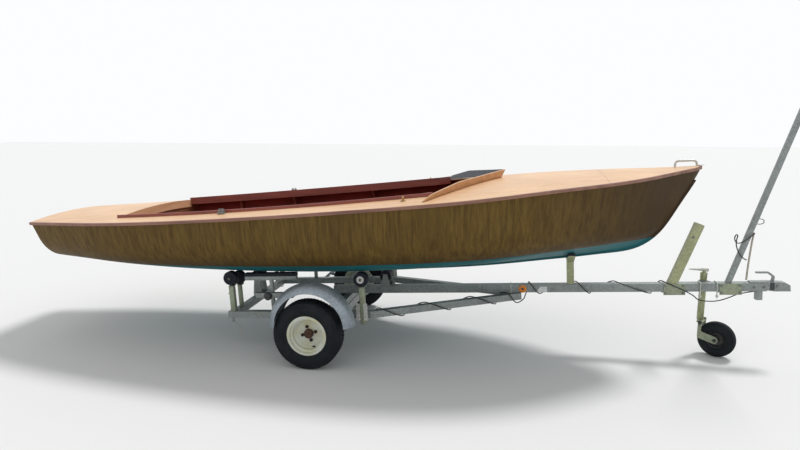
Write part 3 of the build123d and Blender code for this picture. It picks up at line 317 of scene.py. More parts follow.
    def bump(self, height: object, distance: float, strength: float) -> None:
        """Raises the surface by a height value.

        Args:
            height: the value, from 0 to 1.
            distance: the depth of a full step, in metres.
            strength: the share of it that shows.
        """
        node = self.add("Bump")
        self.feed(height, node.inputs["Height"])
        node.inputs["Distance"].default_value = distance
        node.inputs["Strength"].default_value = strength
        self.feed(node.outputs["Normal"], self.shader.inputs["Normal"])

    def surface(
        self, colour: object, roughness: object, metallic: float = 0.0, coat: float = 0.0,
        shine: float = 0.5,
    ) -> bpy.types.Material:
        """Sets the shader's main values.

        Args:
            colour: a colour or an output.
            roughness: a value or an output.
            metallic: share of metal.
            coat: weight of the clear coat.
            shine: how strongly it reflects, where 0.5 is plain varnish.

        Returns:
            The finished material.
        """
        self.feed(colour, self.shader.inputs["Base Color"])
        self.feed(roughness, self.shader.inputs["Roughness"])
        self.shader.inputs["Metallic"].default_value = metallic
        self.shader.inputs["Coat Weight"].default_value = coat
        self.shader.inputs["Coat Roughness"].default_value = self.COAT_ROUGHNESS
        self.shader.inputs["Specular IOR Level"].default_value = shine
        return self.material


@dataclass(frozen=True)
class Timber:
    """Varnished wood with pores and broad bands along its grain."""

    name: str
    pale: Colour
    deep: Colour
    grain: Grain
    gloss: float = 0.42
    wear: float = 0.2
    pore_tone: Colour = (0.25, 0.25, 0.25)

    def make(self) -> bpy.types.Material:
        """Builds the material.

        Returns:
            The finished material.
        """
        g = Graph(self.name)
        along = g.place(self.grain.value)
        bands = g.noise(along, scale=26, detail=5, rough=0.6)
        pores = g.noise(along, scale=240, detail=3, rough=0.7)
        patches = g.noise(g.place(), scale=2.2, detail=3)
        body = g.ramp(bands, (0.3, self.deep), (0.68, self.pale))
        worn = g.part(g.step(patches, 0.45, 0.75), self.wear)
        body = g.mix(worn, body, g.shade(self.pale, 1.18, 0.02))
        pitted = g.ramp(pores, (0.35, self.pore_tone), (0.6, (1, 1, 1)))
        body = g.mix(0.22, body, pitted, "MULTIPLY")
        g.bump(pores, distance=0.0003, strength=0.5)
        rough = g.scaled(g.step(patches, -0.6, 1.9), 0.35, self.gloss - 0.15)
        return g.surface(body, rough, coat=0.15)


@dataclass(frozen=True)
class SplashVarnish:
    """Varnished wood with a painted blue-grey shade on its after face."""

    name: str
    pale: Colour = (0.66, 0.39, 0.20)
    deep: Colour = (0.47, 0.25, 0.115)
    # colour of the painted shade on the boards' after faces
    stain: Colour = (0.050, 0.060, 0.085)

    def make(self) -> bpy.types.Material:
        """Builds the material.

        Returns:
            The finished material.
        """
        g = Graph(self.name)
        bands = g.noise(g.place((1, 0.06, 0.6)), scale=30, detail=5, rough=0.6)
        wood = g.ramp(bands, (0.3, self.deep), (0.7, self.pale))
        # painted shade: faces that look aft turn dark blue-grey instead of showing the wood
        shaded_after_face = g.ramp(bands, (0.3, g.shade(self.stain, 0.55)), (0.7, self.stain))
        ahead, _, rise = g.axes(g.level_normal())
        aftward = g.sum("SUBTRACT", g.part(rise, 0.4), ahead)
        g.bump(bands, distance=0.0003, strength=0.3)
        body = g.mix(g.step(aftward, 0.52, 0.60), wood, shaded_after_face)
        return g.surface(body, 0.42, coat=0.1)


@dataclass(frozen=True)
class HullFinish:
    """Streaked varnish above a painted bottom outside, dark stain inside."""

    name: str
    gold: Colour
    umber: Colour
    lining: Colour
    paint: Colour = (0.013, 0.125, 0.14)
    # colour of the painted shade where the side turns under above the painted bottom
    bilge_shade: Colour = (0.048, 0.029, 0.011)
    bow_tone: Colour = (0.047, 0.029, 0.014)
    groove_tone: Colour = (0.55, 0.52, 0.46)
    line_height: float = 0.705
    line_rise: float = 0.006
    bow_start: float = 1.2
    bow_rise: float = 0.02
    ripple: float = 0.004
    streak_lean: float = 7.0
    heart: Point = (0.3, 0.0, 1.05)

    def above_line(self, g: Graph, x: object, z: object) -> object:
        """The height above the upper edge of the painted bottom.

        Args:
            g: the material's graph.
            x: the place's X in the level frame.
            z: the place's height there.

        Returns:
            The height over that edge, in metres.
        """
        past = g.sum("MAXIMUM", g.sum("SUBTRACT", x, self.bow_start), 0.0)
        lifted = g.sum("ADD", g.part(past, self.bow_rise), self.line_height)
        return g.sum("SUBTRACT", z, g.sum("ADD", g.part(x, self.line_rise), lifted))

    def facing_out(self, g: Graph, place: Sequence[object]) -> object:
        """A mask of the faces that look away from the middle of the hull.

        Args:
            g: the material's graph.
            place: X, Y and Z in the level frame.

        Returns:
            The mask, 1 outside and 0 inside.
        """
        facing = 0.0
        for spot, normal, heart in zip(place, g.axes(g.level_normal()), self.heart):
            reach = g.sum("MULTIPLY", g.sum("SUBTRACT", spot, heart), normal)
            facing = g.sum("ADD", facing, reach)
        return g.step(facing, -0.02, 0.02)

    def make(self) -> bpy.types.Material:
        """Builds the material.

        Returns:
            The finished material.
        """
        g = Graph(self.name)
        level = g.level()
        x, y, z = g.axes(level)
        above = self.above_line(g, x, z)
        ripple = g.part(g.sum("SUBTRACT", g.noise(level, scale=9, detail=2), 0.5), self.ripple)
        varnished = g.step(g.sum("ADD", above, ripple), -0.001, 0.001)

        lean = (0, math.radians(self.streak_lean), 0)
        streaks = g.noise(g.place((1, 0.4, 0.05), lean), scale=42, detail=5, rough=0.65)
        fine = g.noise(g.place((1, 0.4, 0.03), lean), scale=120, detail=3, rough=0.7)
        broad = g.noise(g.place((1, 0.4, 0.22)), scale=4.5, detail=3)
        wood = g.ramp(streaks, (0.34, self.umber), (0.62, self.gold))
        wood = g.mix(g.part(g.step(broad, 0.50, 0.70), 0.45), wood, self.umber)
        grooves = g.ramp(fine, (0.3, self.groove_tone), (0.65, (1, 1, 1)))
        wood = g.mix(0.35, wood, grooves, "MULTIPLY")
        # painted shade: the wood darkens in a band just above the painted bottom, where the bilge
        # turns under
        low = g.step(g.sum("ADD", above, g.part(streaks, 0.07)), 0.13, 0.02)
        wood = g.mix(g.part(low, 0.72), wood, self.bilge_shade)
        wood = g.mix(g.part(g.step(x, 1.5, 2.4), 0.80), wood, self.bow_tone)

        scuff = g.step(g.noise(g.place((0.3, 1, 1)), scale=14, detail=5), 0.55, 0.75)
        paint = g.mix(g.part(scuff, 0.5), self.paint, g.shade(self.paint, 1.5, 0.03))
        outside = g.mix(varnished, paint, wood)

        inner_streaks = g.noise(g.place((0.2, 1, 1)), scale=16, detail=4)
        inside = g.ramp(inner_streaks, (0.3, g.shade(self.lining, 0.5)), (0.7, self.lining))
        colour = g.mix(self.facing_out(g, (x, y, z)), inside, outside)
        g.bump(fine, distance=0.0003, strength=0.4)
        return g.surface(colour, g.scaled(broad, 0.25, 0.4), shine=0.12)


@dataclass(frozen=True)
class Galvanised:
    """Hot-dip zinc: dull crystals, stains and a little dirt."""

    name: str
    tone: Colour
    roughness: float = 0.5
    stain: float = 0.35
    dirt: Colour = (0.10, 0.075, 0.045)

    def make(self) -> bpy.types.Material:
        """Builds the material.

        Returns:
            The finished material.
        """
        g = Graph(self.name)
        crystals = g.cells(g.place(), scale=110)
        clouds = g.noise(g.place(), scale=7, detail=5, rough=0.6)
        fine = g.noise(g.place(), scale=160, detail=3)
        darker, paler = g.shade(self.tone, 0.62), g.shade(self.tone, 1.35)
        body = g.ramp(clouds, (0.3, darker), (0.7, self.tone))
        body = g.mix(0.35, body, g.ramp(crystals, (0.2, darker), (0.8, paler)))
        runs = g.noise(g.place((1, 1, 0.5)), scale=12, detail=6, rough=0.7)
        body = g.mix(g.part(g.step(runs, 0.56, 0.74), self.stain), body, self.dirt)
        g.bump(fine, distance=0.0002, strength=0.6)
        return g.surface(body, g.scaled(clouds, 0.3, self.roughness - 0.15), metallic=0.45)


@dataclass(frozen=True)
class Enamel:
    """Old paint on steel, chalky and rusting in spots."""

    name: str
    paint: Colour
    rust: float = 0.3
    roughness: float = 0.45
    rust_tone: Colour = (0.19, 0.075, 0.03)

    def make(self) -> bpy.types.Material:
        """Builds the material.

        Returns:
            The finished material.
        """
        g = Graph(self.name)
        clouds = g.noise(g.place(), scale=9, detail=5)
        red, green, blue = self.paint
        yellowed = (red * 0.86, green * 0.8, blue * 0.5)
        chalky = g.shade(self.paint, 1.15, 0.03)
        body = g.ramp(clouds, (0.3, yellowed), (0.55, self.paint), (0.8, chalky))
        spots = g.step(g.noise(g.place(), scale=55, detail=6, rough=0.7), 0.6, 0.72)
        body = g.mix(g.part(spots, self.rust), body, self.rust_tone)
        g.bump(spots, distance=0.0003, strength=0.5)
        return g.surface(body, g.scaled(clouds, 0.25, self.roughness - 0.1))


@dataclass(frozen=True)
class Rust:
    """Rusted cast iron."""

    name: str
    bright: Colour
    dark: Colour

    def make(self) -> bpy.types.Material:
        """Builds the material.

        Returns:
            The finished material.
        """
        g = Graph(self.name)
        scale = g.noise(g.place(), scale=60, detail=6, rough=0.7)
        g.bump(scale, distance=0.0012, strength=0.8)
        body = g.ramp(scale, (0.35, self.dark), (0.62, self.bright))
        return g.surface(body, 0.8, metallic=0.2)


@dataclass(frozen=True)
class Rubber:
    """Black rubber, greyed by dust."""

    name: str
    body: Colour = (0.008, 0.011, 0.014)
    dust: float = 0.18
    roughness: float = 0.72
    dust_tone: Colour = (0.07, 0.07, 0.065)

    def make(self) -> bpy.types.Material:
        """Builds the material.

        Returns:
            The finished material.
        """
        g = Graph(self.name)
        clouds = g.noise(g.place(), scale=10, detail=6, rough=0.65)
        dusty = g.part(g.step(clouds, 0.45, 0.75), self.dust)
        g.bump(g.noise(g.place(), scale=320, detail=2), distance=0.0002, strength=0.5)
        body = g.mix(dusty, self.body, self.dust_tone)
        return g.surface(body, self.roughness, shine=0.22)


@dataclass(frozen=True)
class Moulding:
    """Moulded plastic or rope, with a faint texture."""

    name: str
    body: Colour
    roughness: float = 0.4

    def make(self) -> bpy.types.Material:
        """Builds the material.

        Returns:
            The finished material.
        """
        g = Graph(self.name)
        clouds = g.noise(g.place(), scale=30, detail=3)
        g.bump(g.noise(g.place(), scale=400, detail=2), distance=0.0001, strength=0.5)
        worn = g.shade(self.body, 0.75)
        return g.surface(g.ramp(clouds, (0.3, worn), (0.7, self.body)), self.roughness)


@dataclass(frozen=True)
class Polished:
    """Bright metal with fine scratches."""

    name: str
    tone: Colour
    roughness: float

    def make(self) -> bpy.types.Material:
        """Builds the material.

        Returns:
            The finished material.
        """
        g = Graph(self.name)
        scratches = g.noise(g.place((1, 0.1, 1)), scale=300, detail=3, rough=0.7)
        g.bump(scratches, distance=0.0001, strength=0.3)
        rough = g.scaled(scratches, 0.15, self.roughness - 0.05)
        return g.surface(self.tone, rough, metallic=1.0)


class Finishes:
    """Every material of the object, made once."""

    hull: bpy.types.Material
    keel: bpy.types.Material
    deck: bpy.types.Material
    splash: bpy.types.Material
    transom: bpy.types.Material
    red: bpy.types.Material
    inner: bpy.types.Material
    rail: bpy.types.Material
    slat: bpy.types.Material
    trim: bpy.types.Material
    zinc: bpy.types.Material
    blue_zinc: bpy.types.Material
    sunlit_green_zinc: bpy.types.Material
    sunlit_zinc: bpy.types.Material
    fastener: bpy.types.Material
    pale_and_sunlit_steel: bpy.types.Material
    enamel: bpy.types.Material
    black_rim: bpy.types.Material
    rust: bpy.types.Material
    nut_rust: bpy.types.Material
    bronze: bpy.types.Material
    stainless: bpy.types.Material
    tyre: bpy.types.Material
    rubber: bpy.types.Material
    black: bpy.types.Material
    worn_black: bpy.types.Material
    white: bpy.types.Material
    label: bpy.types.Material
    rope: bpy.types.Material
    amber: bpy.types.Material

    def __init__(self) -> None:
        """Makes the materials."""
        for group in (self.timbers(), self.metals(), self.mouldings()):
            for key, finish in group.items():
                setattr(self, key, finish.make())

    @staticmethod
    def timbers() -> dict[str, object]:
        """The varnishes and stains, by the name the pieces know them by."""
        return {
            "hull": HullFinish(
                "hull_varnish", gold=(0.170, 0.104, 0.026), umber=(0.096, 0.056, 0.015),
                lining=(0.30, 0.042, 0.030),
            ),
            "keel": HullFinish(
                "keel_varnish", gold=(0.075, 0.047, 0.020), umber=(0.047, 0.029, 0.014),
                lining=(0.045, 0.029, 0.014),
            ),
            "deck": Timber(
                "deck_varnish", (0.86, 0.56, 0.33), (0.73, 0.44, 0.24), Grain.FORE_AND_AFT,
                gloss=0.5, wear=0.6,
            ),
            "splash": SplashVarnish("splash_varnish"),
            **{
                name.split("_")[0]: Timber(name, pale, deep, grain)
                for name, pale, deep, grain in (
                    ("transom_varnish", (0.19, 0.11, 0.04), (0.08, 0.045, 0.018), Grain.ATHWART),
                    ("red_stain", (0.38, 0.092, 0.066), (0.21, 0.052, 0.038), Grain.FORE_AND_AFT),
                    ("inner_varnish", (0.30, 0.12, 0.055), (0.14, 0.045, 0.025), Grain.ATHWART),
                    ("rail_varnish", (0.36, 0.17, 0.115), (0.17, 0.065, 0.042), Grain.FORE_AND_AFT),
                    ("slat_varnish", (0.40, 0.22, 0.11), (0.22, 0.11, 0.05), Grain.FORE_AND_AFT),
                    ("trim_varnish", (0.80, 0.45, 0.25), (0.62, 0.31, 0.155), Grain.ATHWART),
                )
            },
        }

    @staticmethod
    def metals() -> dict[str, object]:
        """The metals, by the name the pieces know them by."""
        return {
            "zinc": Galvanised("galvanised", (0.30, 0.33, 0.32)),
            "blue_zinc": Galvanised("galvanised_sheet", (0.33, 0.38, 0.42), 0.42, 0.12),
            # greenish zinc: painted sunlight, the pale yellow-green of the lit posts
            "sunlit_green_zinc": Galvanised("galvanised_sunlit_green", (0.33, 0.37, 0.26)),
            # yellow-green zinc: painted sunlight, the tint of the sunlit faces laid over whole
            # parts
            "sunlit_zinc": Galvanised("galvanised_painted_sunlight", (0.40, 0.42, 0.24)),
            "fastener": Galvanised("fastener_steel", (0.24, 0.24, 0.23), 0.4, 0.5),
            # pale steel: the handles' own worn metal, and painted sunlight on the post strips
            "pale_and_sunlit_steel": Galvanised("worn_and_sunlit_steel", (0.62, 0.62, 0.58), 0.4, 0.12),
            "enamel": Enamel("wheel_enamel", (0.66, 0.68, 0.60)),
            "black_rim": Enamel("black_rim", (0.035, 0.036, 0.038), 0.15),
            "rust": Rust("hub_rust", (0.11, 0.05, 0.026), (0.03, 0.018, 0.014)),
            "nut_rust": Rust("nut_rust", (0.05, 0.028, 0.018), (0.014, 0.010, 0.008)),
            "bronze": Polished("bronze", (0.42, 0.27, 0.13), 0.4),
            "stainless": Polished("stainless", (0.62, 0.62, 0.6), 0.22),
        }

    @staticmethod
    def mouldings() -> dict[str, object]:
        """The rubbers, plastics and rope, by the name the pieces know them by."""
        return {
            "tyre": Rubber("tyre_rubber"),
            "rubber": Rubber("roller_rubber", (0.011, 0.013, 0.021), 0.2, 0.6),
            "black": Moulding("black_moulding", (0.02, 0.02, 0.022)),
            "worn_black": Moulding("worn_black", (0.045, 0.047, 0.050), 0.55),
            "white": Moulding("white_moulding", (0.72, 0.72, 0.68)),
            "label": Moulding("blank_label", (0.86, 0.87, 0.86), 0.5),
            "rope": Moulding("pale_rope", (0.50, 0.46, 0.38), 0.85),
            "amber": Moulding("amber_lens", (0.85, 0.26, 0.02), 0.18),
        }

    def dress(self) -> None:
        """Gives each CAD node that stays in view its material, zinc where none is named."""
        groups = (
            (self.hull, ("hull_shell",)), (self.keel, ("keel_strip",)),
            (self.transom, ("transom",)), (self.deck, ("side_decks",)),
            (self.red, ("coamings", "hull_frames")), (self.rail, ("rub_rails",)),
            (self.inner, ("bulkheads", "thwart", "centreboard_case", "mast_step")),
            (self.slat, ("cockpit_sole",)),
            (self.stainless, ("stem_head_plate", "rudder_gudgeons")),
            (self.rubber, ("slot_gasket", "bunk_pads", "bow_support_pads", "keel_rollers")),
            (self.blue_zinc, ("mudguard_starboard", "mudguard_port")),
            (self.enamel, ("wheel_rim_starboard", "wheel_rim_port")),
            (self.black_rim, ("jockey_rim",)),
            (self.rust, ("wheel_hub_starboard", "wheel_hub_port")),
            # the bow post and its support take the zinc with the painted sunlight tint
            (self.amber, ("side_reflectors",)), (self.sunlit_zinc, ("bow_post", "bow_keel_support")),
        )
        table = {name: finish for finish, names in groups for name in names}
        for name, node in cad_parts.items():
            node.data.materials.clear()
            node.data.materials.append(table.get(name, self.zinc))
        log.info("dressed %d CAD nodes", len(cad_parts))


class Maker:
    """Shared bmesh steps for the new pieces."""

    CREASE = math.radians(32)
    WELD = 1e-6

    @staticmethod
    def turned(profile: Iterable[tuple[float, float]], steps: int) -> bmesh.types.BMesh:
        """A turned shape about its own Z axis.

        Args:
            profile: radius and height of each point, from one end to the other.
            steps: segments of the turn.

        Returns:
            The new bmesh.
        """
        bm = bmesh.new()
        points = [bm.verts.new((radius, 0, height)) for radius, height in profile]
        edges = [bm.edges.new(pair) for pair in zip(points, points[1:])]
        bmesh.ops.spin(
            bm, geom=points + edges, cent=(0, 0, 0), axis=(0, 0, 1), angle=math.tau, steps=steps,
            use_merge=True,
        )
        bmesh.ops.remove_doubles(bm, verts=bm.verts, dist=Maker.WELD)
        bmesh.ops.recalc_face_normals(bm, faces=bm.faces)
        return bm

    @staticmethod
    def mirrored(half: Sequence[tuple[float, float]]) -> list[tuple[float, float]]:
        """A closed profile from its half above height 0."""
        whole = list(half) + [(radius, -height) for radius, height in reversed(half)]
        return whole[-1:] + whole

    @staticmethod
    def soften(
        bm: bmesh.types.BMesh, edges: Sequence[bmesh.types.BMEdge], width: float, segments: int = 2,
    ) -> None:
        """Rounds edges over.

        Args:
            bm: the shape.
            edges: the edges that are rounded.
            width: width of the rounding.
            segments: facets of the rounding.
        """
        bmesh.ops.bevel(
            bm, geom=edges, offset=width, segments=segments, profile=0.5, affect="EDGES",
            material=-1,
        )

    @staticmethod
    def block(size: Point, bevel: float) -> bmesh.types.BMesh:
        """A box about the origin with softened edges.

        Args:
            size: its three widths.
            bevel: width of its edge rounding.

        Returns:
            The new bmesh.
        """
        bm = bmesh.new()
        bmesh.ops.create_cube(bm, size=1)
        bmesh.ops.scale(bm, vec=size, verts=bm.verts)
        Maker.soften(bm, bm.edges[:], bevel)
        return bm

    @staticmethod
    def nut(radius: float, height: float, stud: float = 0.0) -> bmesh.types.BMesh:
        """A hexagon nut on the plane Z = 0, with a stud through it.

        Args:
            radius: across its corners, halved.
            height: its height.
            stud: how far the stud stands out of it.

        Returns:
            The new bmesh.
        """
        bm = bmesh.new()
        bmesh.ops.create_cone(
            bm, cap_ends=True, segments=6, radius1=radius, radius2=radius, depth=height,
            matrix=Matrix.Translation((0, 0, height / 2)),
        )
        Maker.soften(bm, bm.edges[:], radius * 0.1, 1)
        if stud:
            bmesh.ops.create_cone(
                bm, cap_ends=True, segments=16, radius1=radius * 0.5, radius2=radius * 0.44,
                depth=height + stud, matrix=Matrix.Translation((0, 0, (height + stud) / 2)),
            )
        return bm

    @staticmethod
    def thicken(bm: bmesh.types.BMesh, shift: Point) -> None:
        """Turns an open sheet into a closed panel.

        Args:
            bm: the sheet.
            shift: from its first face to its second.
        """
        grown = bmesh.ops.extrude_face_region(bm, geom=bm.faces[:])
        moved = [item for item in grown["geom"] if isinstance(item, bmesh.types.BMVert)]
        bmesh.ops.translate(bm, vec=shift, verts=moved)
        bmesh.ops.recalc_face_normals(bm, faces=bm.faces)

    @staticmethod
    def plate(outline: Sequence[tuple[float, float]], thickness: float) -> bmesh.types.BMesh:
        """A flat plate in the XZ plane, as thick as given along Y.

        Args:
            outline: its corners as X and Z.
            thickness: how thick it is.

        Returns:
            The new bmesh.
        """
        bm = bmesh.new()
        bm.faces.new([bm.verts.new((x, 0, z)) for x, z in outline])
        Maker.thicken(bm, (0, thickness, 0))
        rim = [edge for edge in bm.edges if edge.calc_face_angle(0) > 1]
        Maker.soften(bm, rim, min(0.0006, thickness / 5), 1)
        return bm

    @staticmethod
    def slab(bm: bmesh.types.BMesh, low: Point, high: Point, bevel: float = 0.0015) -> None:
        """Adds a softened block between two corners.

        Args:
            bm: the bmesh that grows.
            low: the corner with the least values.
            high: the corner with the greatest.
            bevel: width of its edge rounding.
        """
        shape = Maker.block(tuple(b - a for a, b in zip(low, high)), bevel)
        middle = Matrix.Translation([(a + b) / 2 for a, b in zip(low, high)])
        Maker.spread(bm, shape, [middle])

    @staticmethod
    def side_slab(
        bm: bmesh.types.BMesh, side: Side, low: Point, high: Point, bevel: float = 0.0015,
    ) -> None:
        """Adds a softened block on one side of the trailer.

        Args:
            bm: the bmesh that grows.
            side: the block's side.
            low: its lower corner as it lies on the port side.
            high: its upper corner there.
            bevel: width of its edge rounding.
        """
        near, far = sorted((side.value * low[1], side.value * high[1]))
        Maker.slab(bm, (low[0], near, low[2]), (high[0], far, high[2]), bevel)

    @staticmethod
    def skin(bm: bmesh.types.BMesh, rings: Sequence[Sequence[bmesh.types.BMVert]]) -> None:
        """Closes a bar over its rings of points, with both ends.

        Args:
            bm: the bmesh that grows.
            rings: its sections, each with as many points as the others.
        """
        made = [bm.faces.new(rings[0]), bm.faces.new(rings[-1])]
        for low, high in zip(rings, rings[1:]):
            for step in range(len(low)):
                after = (step + 1) % len(low)
                made.append(bm.faces.new((low[step], high[step], high[after], low[after])))
        bmesh.ops.recalc_face_normals(bm, faces=made)

    @staticmethod
    def rod(
        bm: bmesh.types.BMesh, route: Sequence[Point], radius: float, steps: int = 12,
        bend: float = 0.0,
    ) -> None:
        """Adds a steel rod bent along a route.

        Args:
            bm: the bmesh that grows.
            route: the places where it bends.
            radius: half its thickness.
            steps: sides of its section.
            bend: how far from each corner a bend starts.
        """
        spots = [Vector(spot) for spot in route]
        line = spots[:1]
        for before, corner, after in zip(spots, spots[1:], spots[2:]):
            if bend:
                first = corner + (before - corner).normalized() * bend
                last = corner + (after - corner).normalized() * bend
                line += [
                    first.lerp(corner, share).lerp(corner.lerp(last, share), share)
                    for share in (0, 0.25, 0.5, 0.75, 1)
                ]
            else:
                line.append(corner)
        line.append(spots[-1])
        rings, side = [], None
        for index, spot in enumerate(line):
            ahead = (line[min(index + 1, len(line) - 1)] - line[max(index - 1, 0)]).normalized()
            side = ahead.orthogonal() if side is None else side - ahead * side.dot(ahead)
            side.normalize()
            other = ahead.cross(side)
            rings.append([
                bm.verts.new(spot + (side * math.cos(angle) + other * math.sin(angle)) * radius)
                for angle in [math.tau * step / steps for step in range(steps)]
            ])
        Maker.skin(bm, rings)

    @staticmethod
    def perforated(
        width: float, length: float, holes: Sequence[float], radius: float, thickness: float,
    ) -> bmesh.types.BMesh:
        """An upright strip with round holes and a rounded top.

        Args:
            width: its width along X.
            length: its height, from Z = 0.
            holes: heights of the holes' centres.
            radius: radius of the holes.
            thickness: its thickness, centred on Y = 0.

        Returns:
            The new bmesh.
        """
        bm = bmesh.new()
        half, quarter = width / 2, width / 4
        columns = [-half, -quarter, 0, quarter, half]
        around = (2, 2, 2, 1, 0, -1, -2, -2, -2, -2, -2, -1, 0, 1, 2, 2)
        steps = len(around)
        edges = [[(x, 0.0) for x in columns]]
        for height in holes:
            square, ring = [], []
            for step in range(steps):
                angle = math.tau * step / steps
                x, z = quarter * around[step], quarter * around[step - steps // 4]
                square.append(bm.verts.new((x, 0, height + z)))
                x, z = radius * math.cos(angle), radius * math.sin(angle)
                ring.append(bm.verts.new((x, 0, height + z)))
            for step in range(steps):
                after = (step + 1) % steps
                bm.faces.new((square[step], square[after], ring[after], ring[step]))
            edges += [[(x, height - half) for x in columns], [(x, height + half) for x in columns]]
        edges.append([
            (half * math.cos(angle), length - quarter + quarter * math.sin(angle))
            for angle in [math.pi - math.pi * step / 8 for step in range(9)]
        ])
        for low, high in zip(edges[0::2], edges[1::2]):
            loop = low + list(reversed(high))
            clean = [spot for index, spot in enumerate(loop) if spot != loop[index - 1]]
            if max(z for _, z in clean) - min(z for _, z in clean) > Maker.WELD:
                bm.faces.new([bm.verts.new((x, 0, z)) for x, z in clean])
        bmesh.ops.remove_doubles(bm, verts=bm.verts, dist=Maker.WELD)
        bmesh.ops.recalc_face_normals(bm, faces=bm.faces)
        Maker.thicken(bm, (0, thickness, 0))
        bmesh.ops.translate(bm, vec=(0, -thickness / 2, 0), verts=bm.verts)
        return bm

    @staticmethod
    def spread(bm: bmesh.types.BMesh, shape: bmesh.types.BMesh, places: Iterable[Matrix]) -> None:
        """Adds a copy of a shape at each place, and then frees the shape.

        Args:
            bm: the bmesh that grows.
            shape: the shape that is copied.
            places: the copies' places.
        """
        for place in places:
            scratch = bpy.data.meshes.new("scratch")
            shape.to_mesh(scratch)
            scratch.transform(place)
            bm.from_mesh(scratch)
            bpy.data.meshes.remove(scratch)
        shape.free()

    @staticmethod
    def piece(
        name: str, bm: bmesh.types.BMesh, finish: bpy.types.Material, slot: str,
        body: str = "root", where: Matrix = PARKED, replaces: Sequence[str] = (),
    ) -> bpy.types.Object:
        """Finishes a bmesh as a piece that rides on a body.

        Args:
            name: the piece's name.
            bm: its shape.
            finish: its material.
            slot: the record's material slot; not used.
            body: the CAD body it rides on.
            where: its place, put into the mesh.
            replaces: CAD nodes it stands for.

        Returns:
            The new object.
        """
        bm.transform(where)
        for face in bm.faces:
            face.smooth = True
        for edge in bm.edges:
            if len(edge.link_faces) == 2 and edge.calc_face_angle(0) > Maker.CREASE:
                edge.smooth = False
        mesh = bpy.data.meshes.new(name)
        bm.to_mesh(mesh)
        bm.free()
        mesh.materials.append(finish)
        thing = bpy.data.objects.new(name, mesh)
        bpy.context.scene.collection.objects.link(thing)
        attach(thing, body)
        if replaces:
            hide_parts(*replaces)
        log.info("%s: %d faces", name, len(mesh.polygons))
        return thing

    @staticmethod
    def outward(x: float, reach: float, z: float, side: Side) -> Matrix:
        """A place whose own Z axis points out to one side.

        Args:
            x: where along the trailer.
            reach: how far from the centreline.
            z: its height.
            side: the side that it lies on.

        Returns:
            The place in the frame of those three values.
        """
        turn = Matrix.Rotation(-side.value * math.pi / 2, 4, "X")
        return Matrix.Translation((x, side.value * reach, z)) @ turn


@dataclass
class RoadWheel:
    """One road wheel's tyre, nuts and valve."""

    side: Side
    finishes: Finishes
    width: float = 0.145
    bead: float = 0.128
    tread_depth: float = 0.006
    plain_shoulder: float = 0.021
    ribs: int = 5
    blocks: int = 64
    lug_depth: float = 0.010
    lug_sink: float = 0.0056
    crown_fall: float = 0.0035
    lug_skew: float = 0.35
    nuts: int = 4
    nut_circle: float = 0.050
    nut_start: float = 0.15
    nut_seat: float = -0.0099
    valve_place: Point = (0.100, 0, 0.002)
    valve_turn: float = -70.0
    valve_lean: float = -24.0

    def axle(self) -> Matrix:
        """The wheel's centre, its own Z axis pointing outboard."""
        return PARKED @ Maker.outward(0, HALF_TRACK, TYRE_RADIUS, self.side)

    def tyre(self) -> None:
        """Builds the carcass with its ribbed, blocked tread."""
        bead, half, tread = self.bead, self.width / 2, TYRE_RADIUS - self.tread_depth
        bm = Maker.turned(Maker.mirrored([
            (bead, 0.046), (bead + 0.012, 0.053), (bead + 0.022, 0.0575), (bead + 0.030, 0.062),
            (bead + 0.033, 0.0612), (bead + 0.045, half - 0.0035), (bead + 0.060, half),
            (bead + 0.078, half - 0.002), (bead + 0.081, half - 0.0045),
            (bead + 0.095, half - 0.008), (tread - 0.004, half - 0.015), (tread, half - 0.024),
            (tread + 0.0015, half * 0.35),
        ]), 72)
        rib_width = (self.width - 2 * self.plain_shoulder) / self.ribs
        pitch = math.tau / self.blocks
        lug = Maker.block((self.lug_depth, pitch * TYRE_RADIUS * 0.80, rib_width * 0.84), 0.0007)
        places = []
        for rib in range(self.ribs):
            across = (rib - (self.ribs - 1) / 2) * rib_width
            sunk = self.lug_sink + self.crown_fall * (across / half) ** 2
            odd = rib % 2
            skew = Matrix.Rotation(self.lug_skew if odd else -self.lug_skew, 4, "X")
            for index in range(self.blocks):
                turn = Matrix.Rotation(pitch * (index + odd / 2), 4, "Z")
                out = Matrix.Translation((TYRE_RADIUS - sunk, 0, across))
                places.append(turn @ out @ skew)
        Maker.spread(bm, lug, places)
        label = self.side.label
        Maker.piece(
            f"road_tyre_{label}", bm, self.finishes.tyre, "tyre_rubber", f"wheel_{label}",
            self.axle(), (f"wheel_tyre_{label}",),
        )

    def hardware(self) -> None:
        """Builds the wheel nuts and the valve."""
        label, body = self.side.label, f"wheel_{self.side.label}"
        nuts = bmesh.new()
        Maker.spread(nuts, Maker.nut(0.0125, 0.012, 0.006), [
            Matrix.Rotation(math.tau * (index + self.nut_start) / self.nuts, 4, "Z")
            @ Matrix.Translation((self.nut_circle, 0, self.nut_seat))
            for index in range(self.nuts)
        ])
        Maker.piece(
            f"wheel_nuts_{label}", nuts, self.finishes.nut_rust, "hub_iron", body, self.axle(),
        )
        valve = Maker.turned([
            (0, 0.036), (0.0035, 0.036), (0.0035, 0.022), (0.0050, 0.020), (0.0065, 0.0),
            (0.0085, -0.004), (0, -0.004),
        ], 20)
        stand = (
            Matrix.Rotation(math.radians(self.valve_turn), 4, "Z")
            @ Matrix.Translation(self.valve_place)
            @ Matrix.Rotation(math.radians(self.valve_lean), 4, "Y")
        )
        Maker.piece(
            f"tyre_valve_{label}", valve, self.finishes.black, "moulded_black", body,
            self.axle() @ stand,
        )

    def build(self) -> None:
        """Builds every piece of the wheel."""
        self.tyre()
        self.hardware()


@dataclass(frozen=True)
class DeckStation:
    """The deck's half width, edge height and crown at one place along the hull."""

    x: float
    half_beam: float
    sheer: float
    crown: float


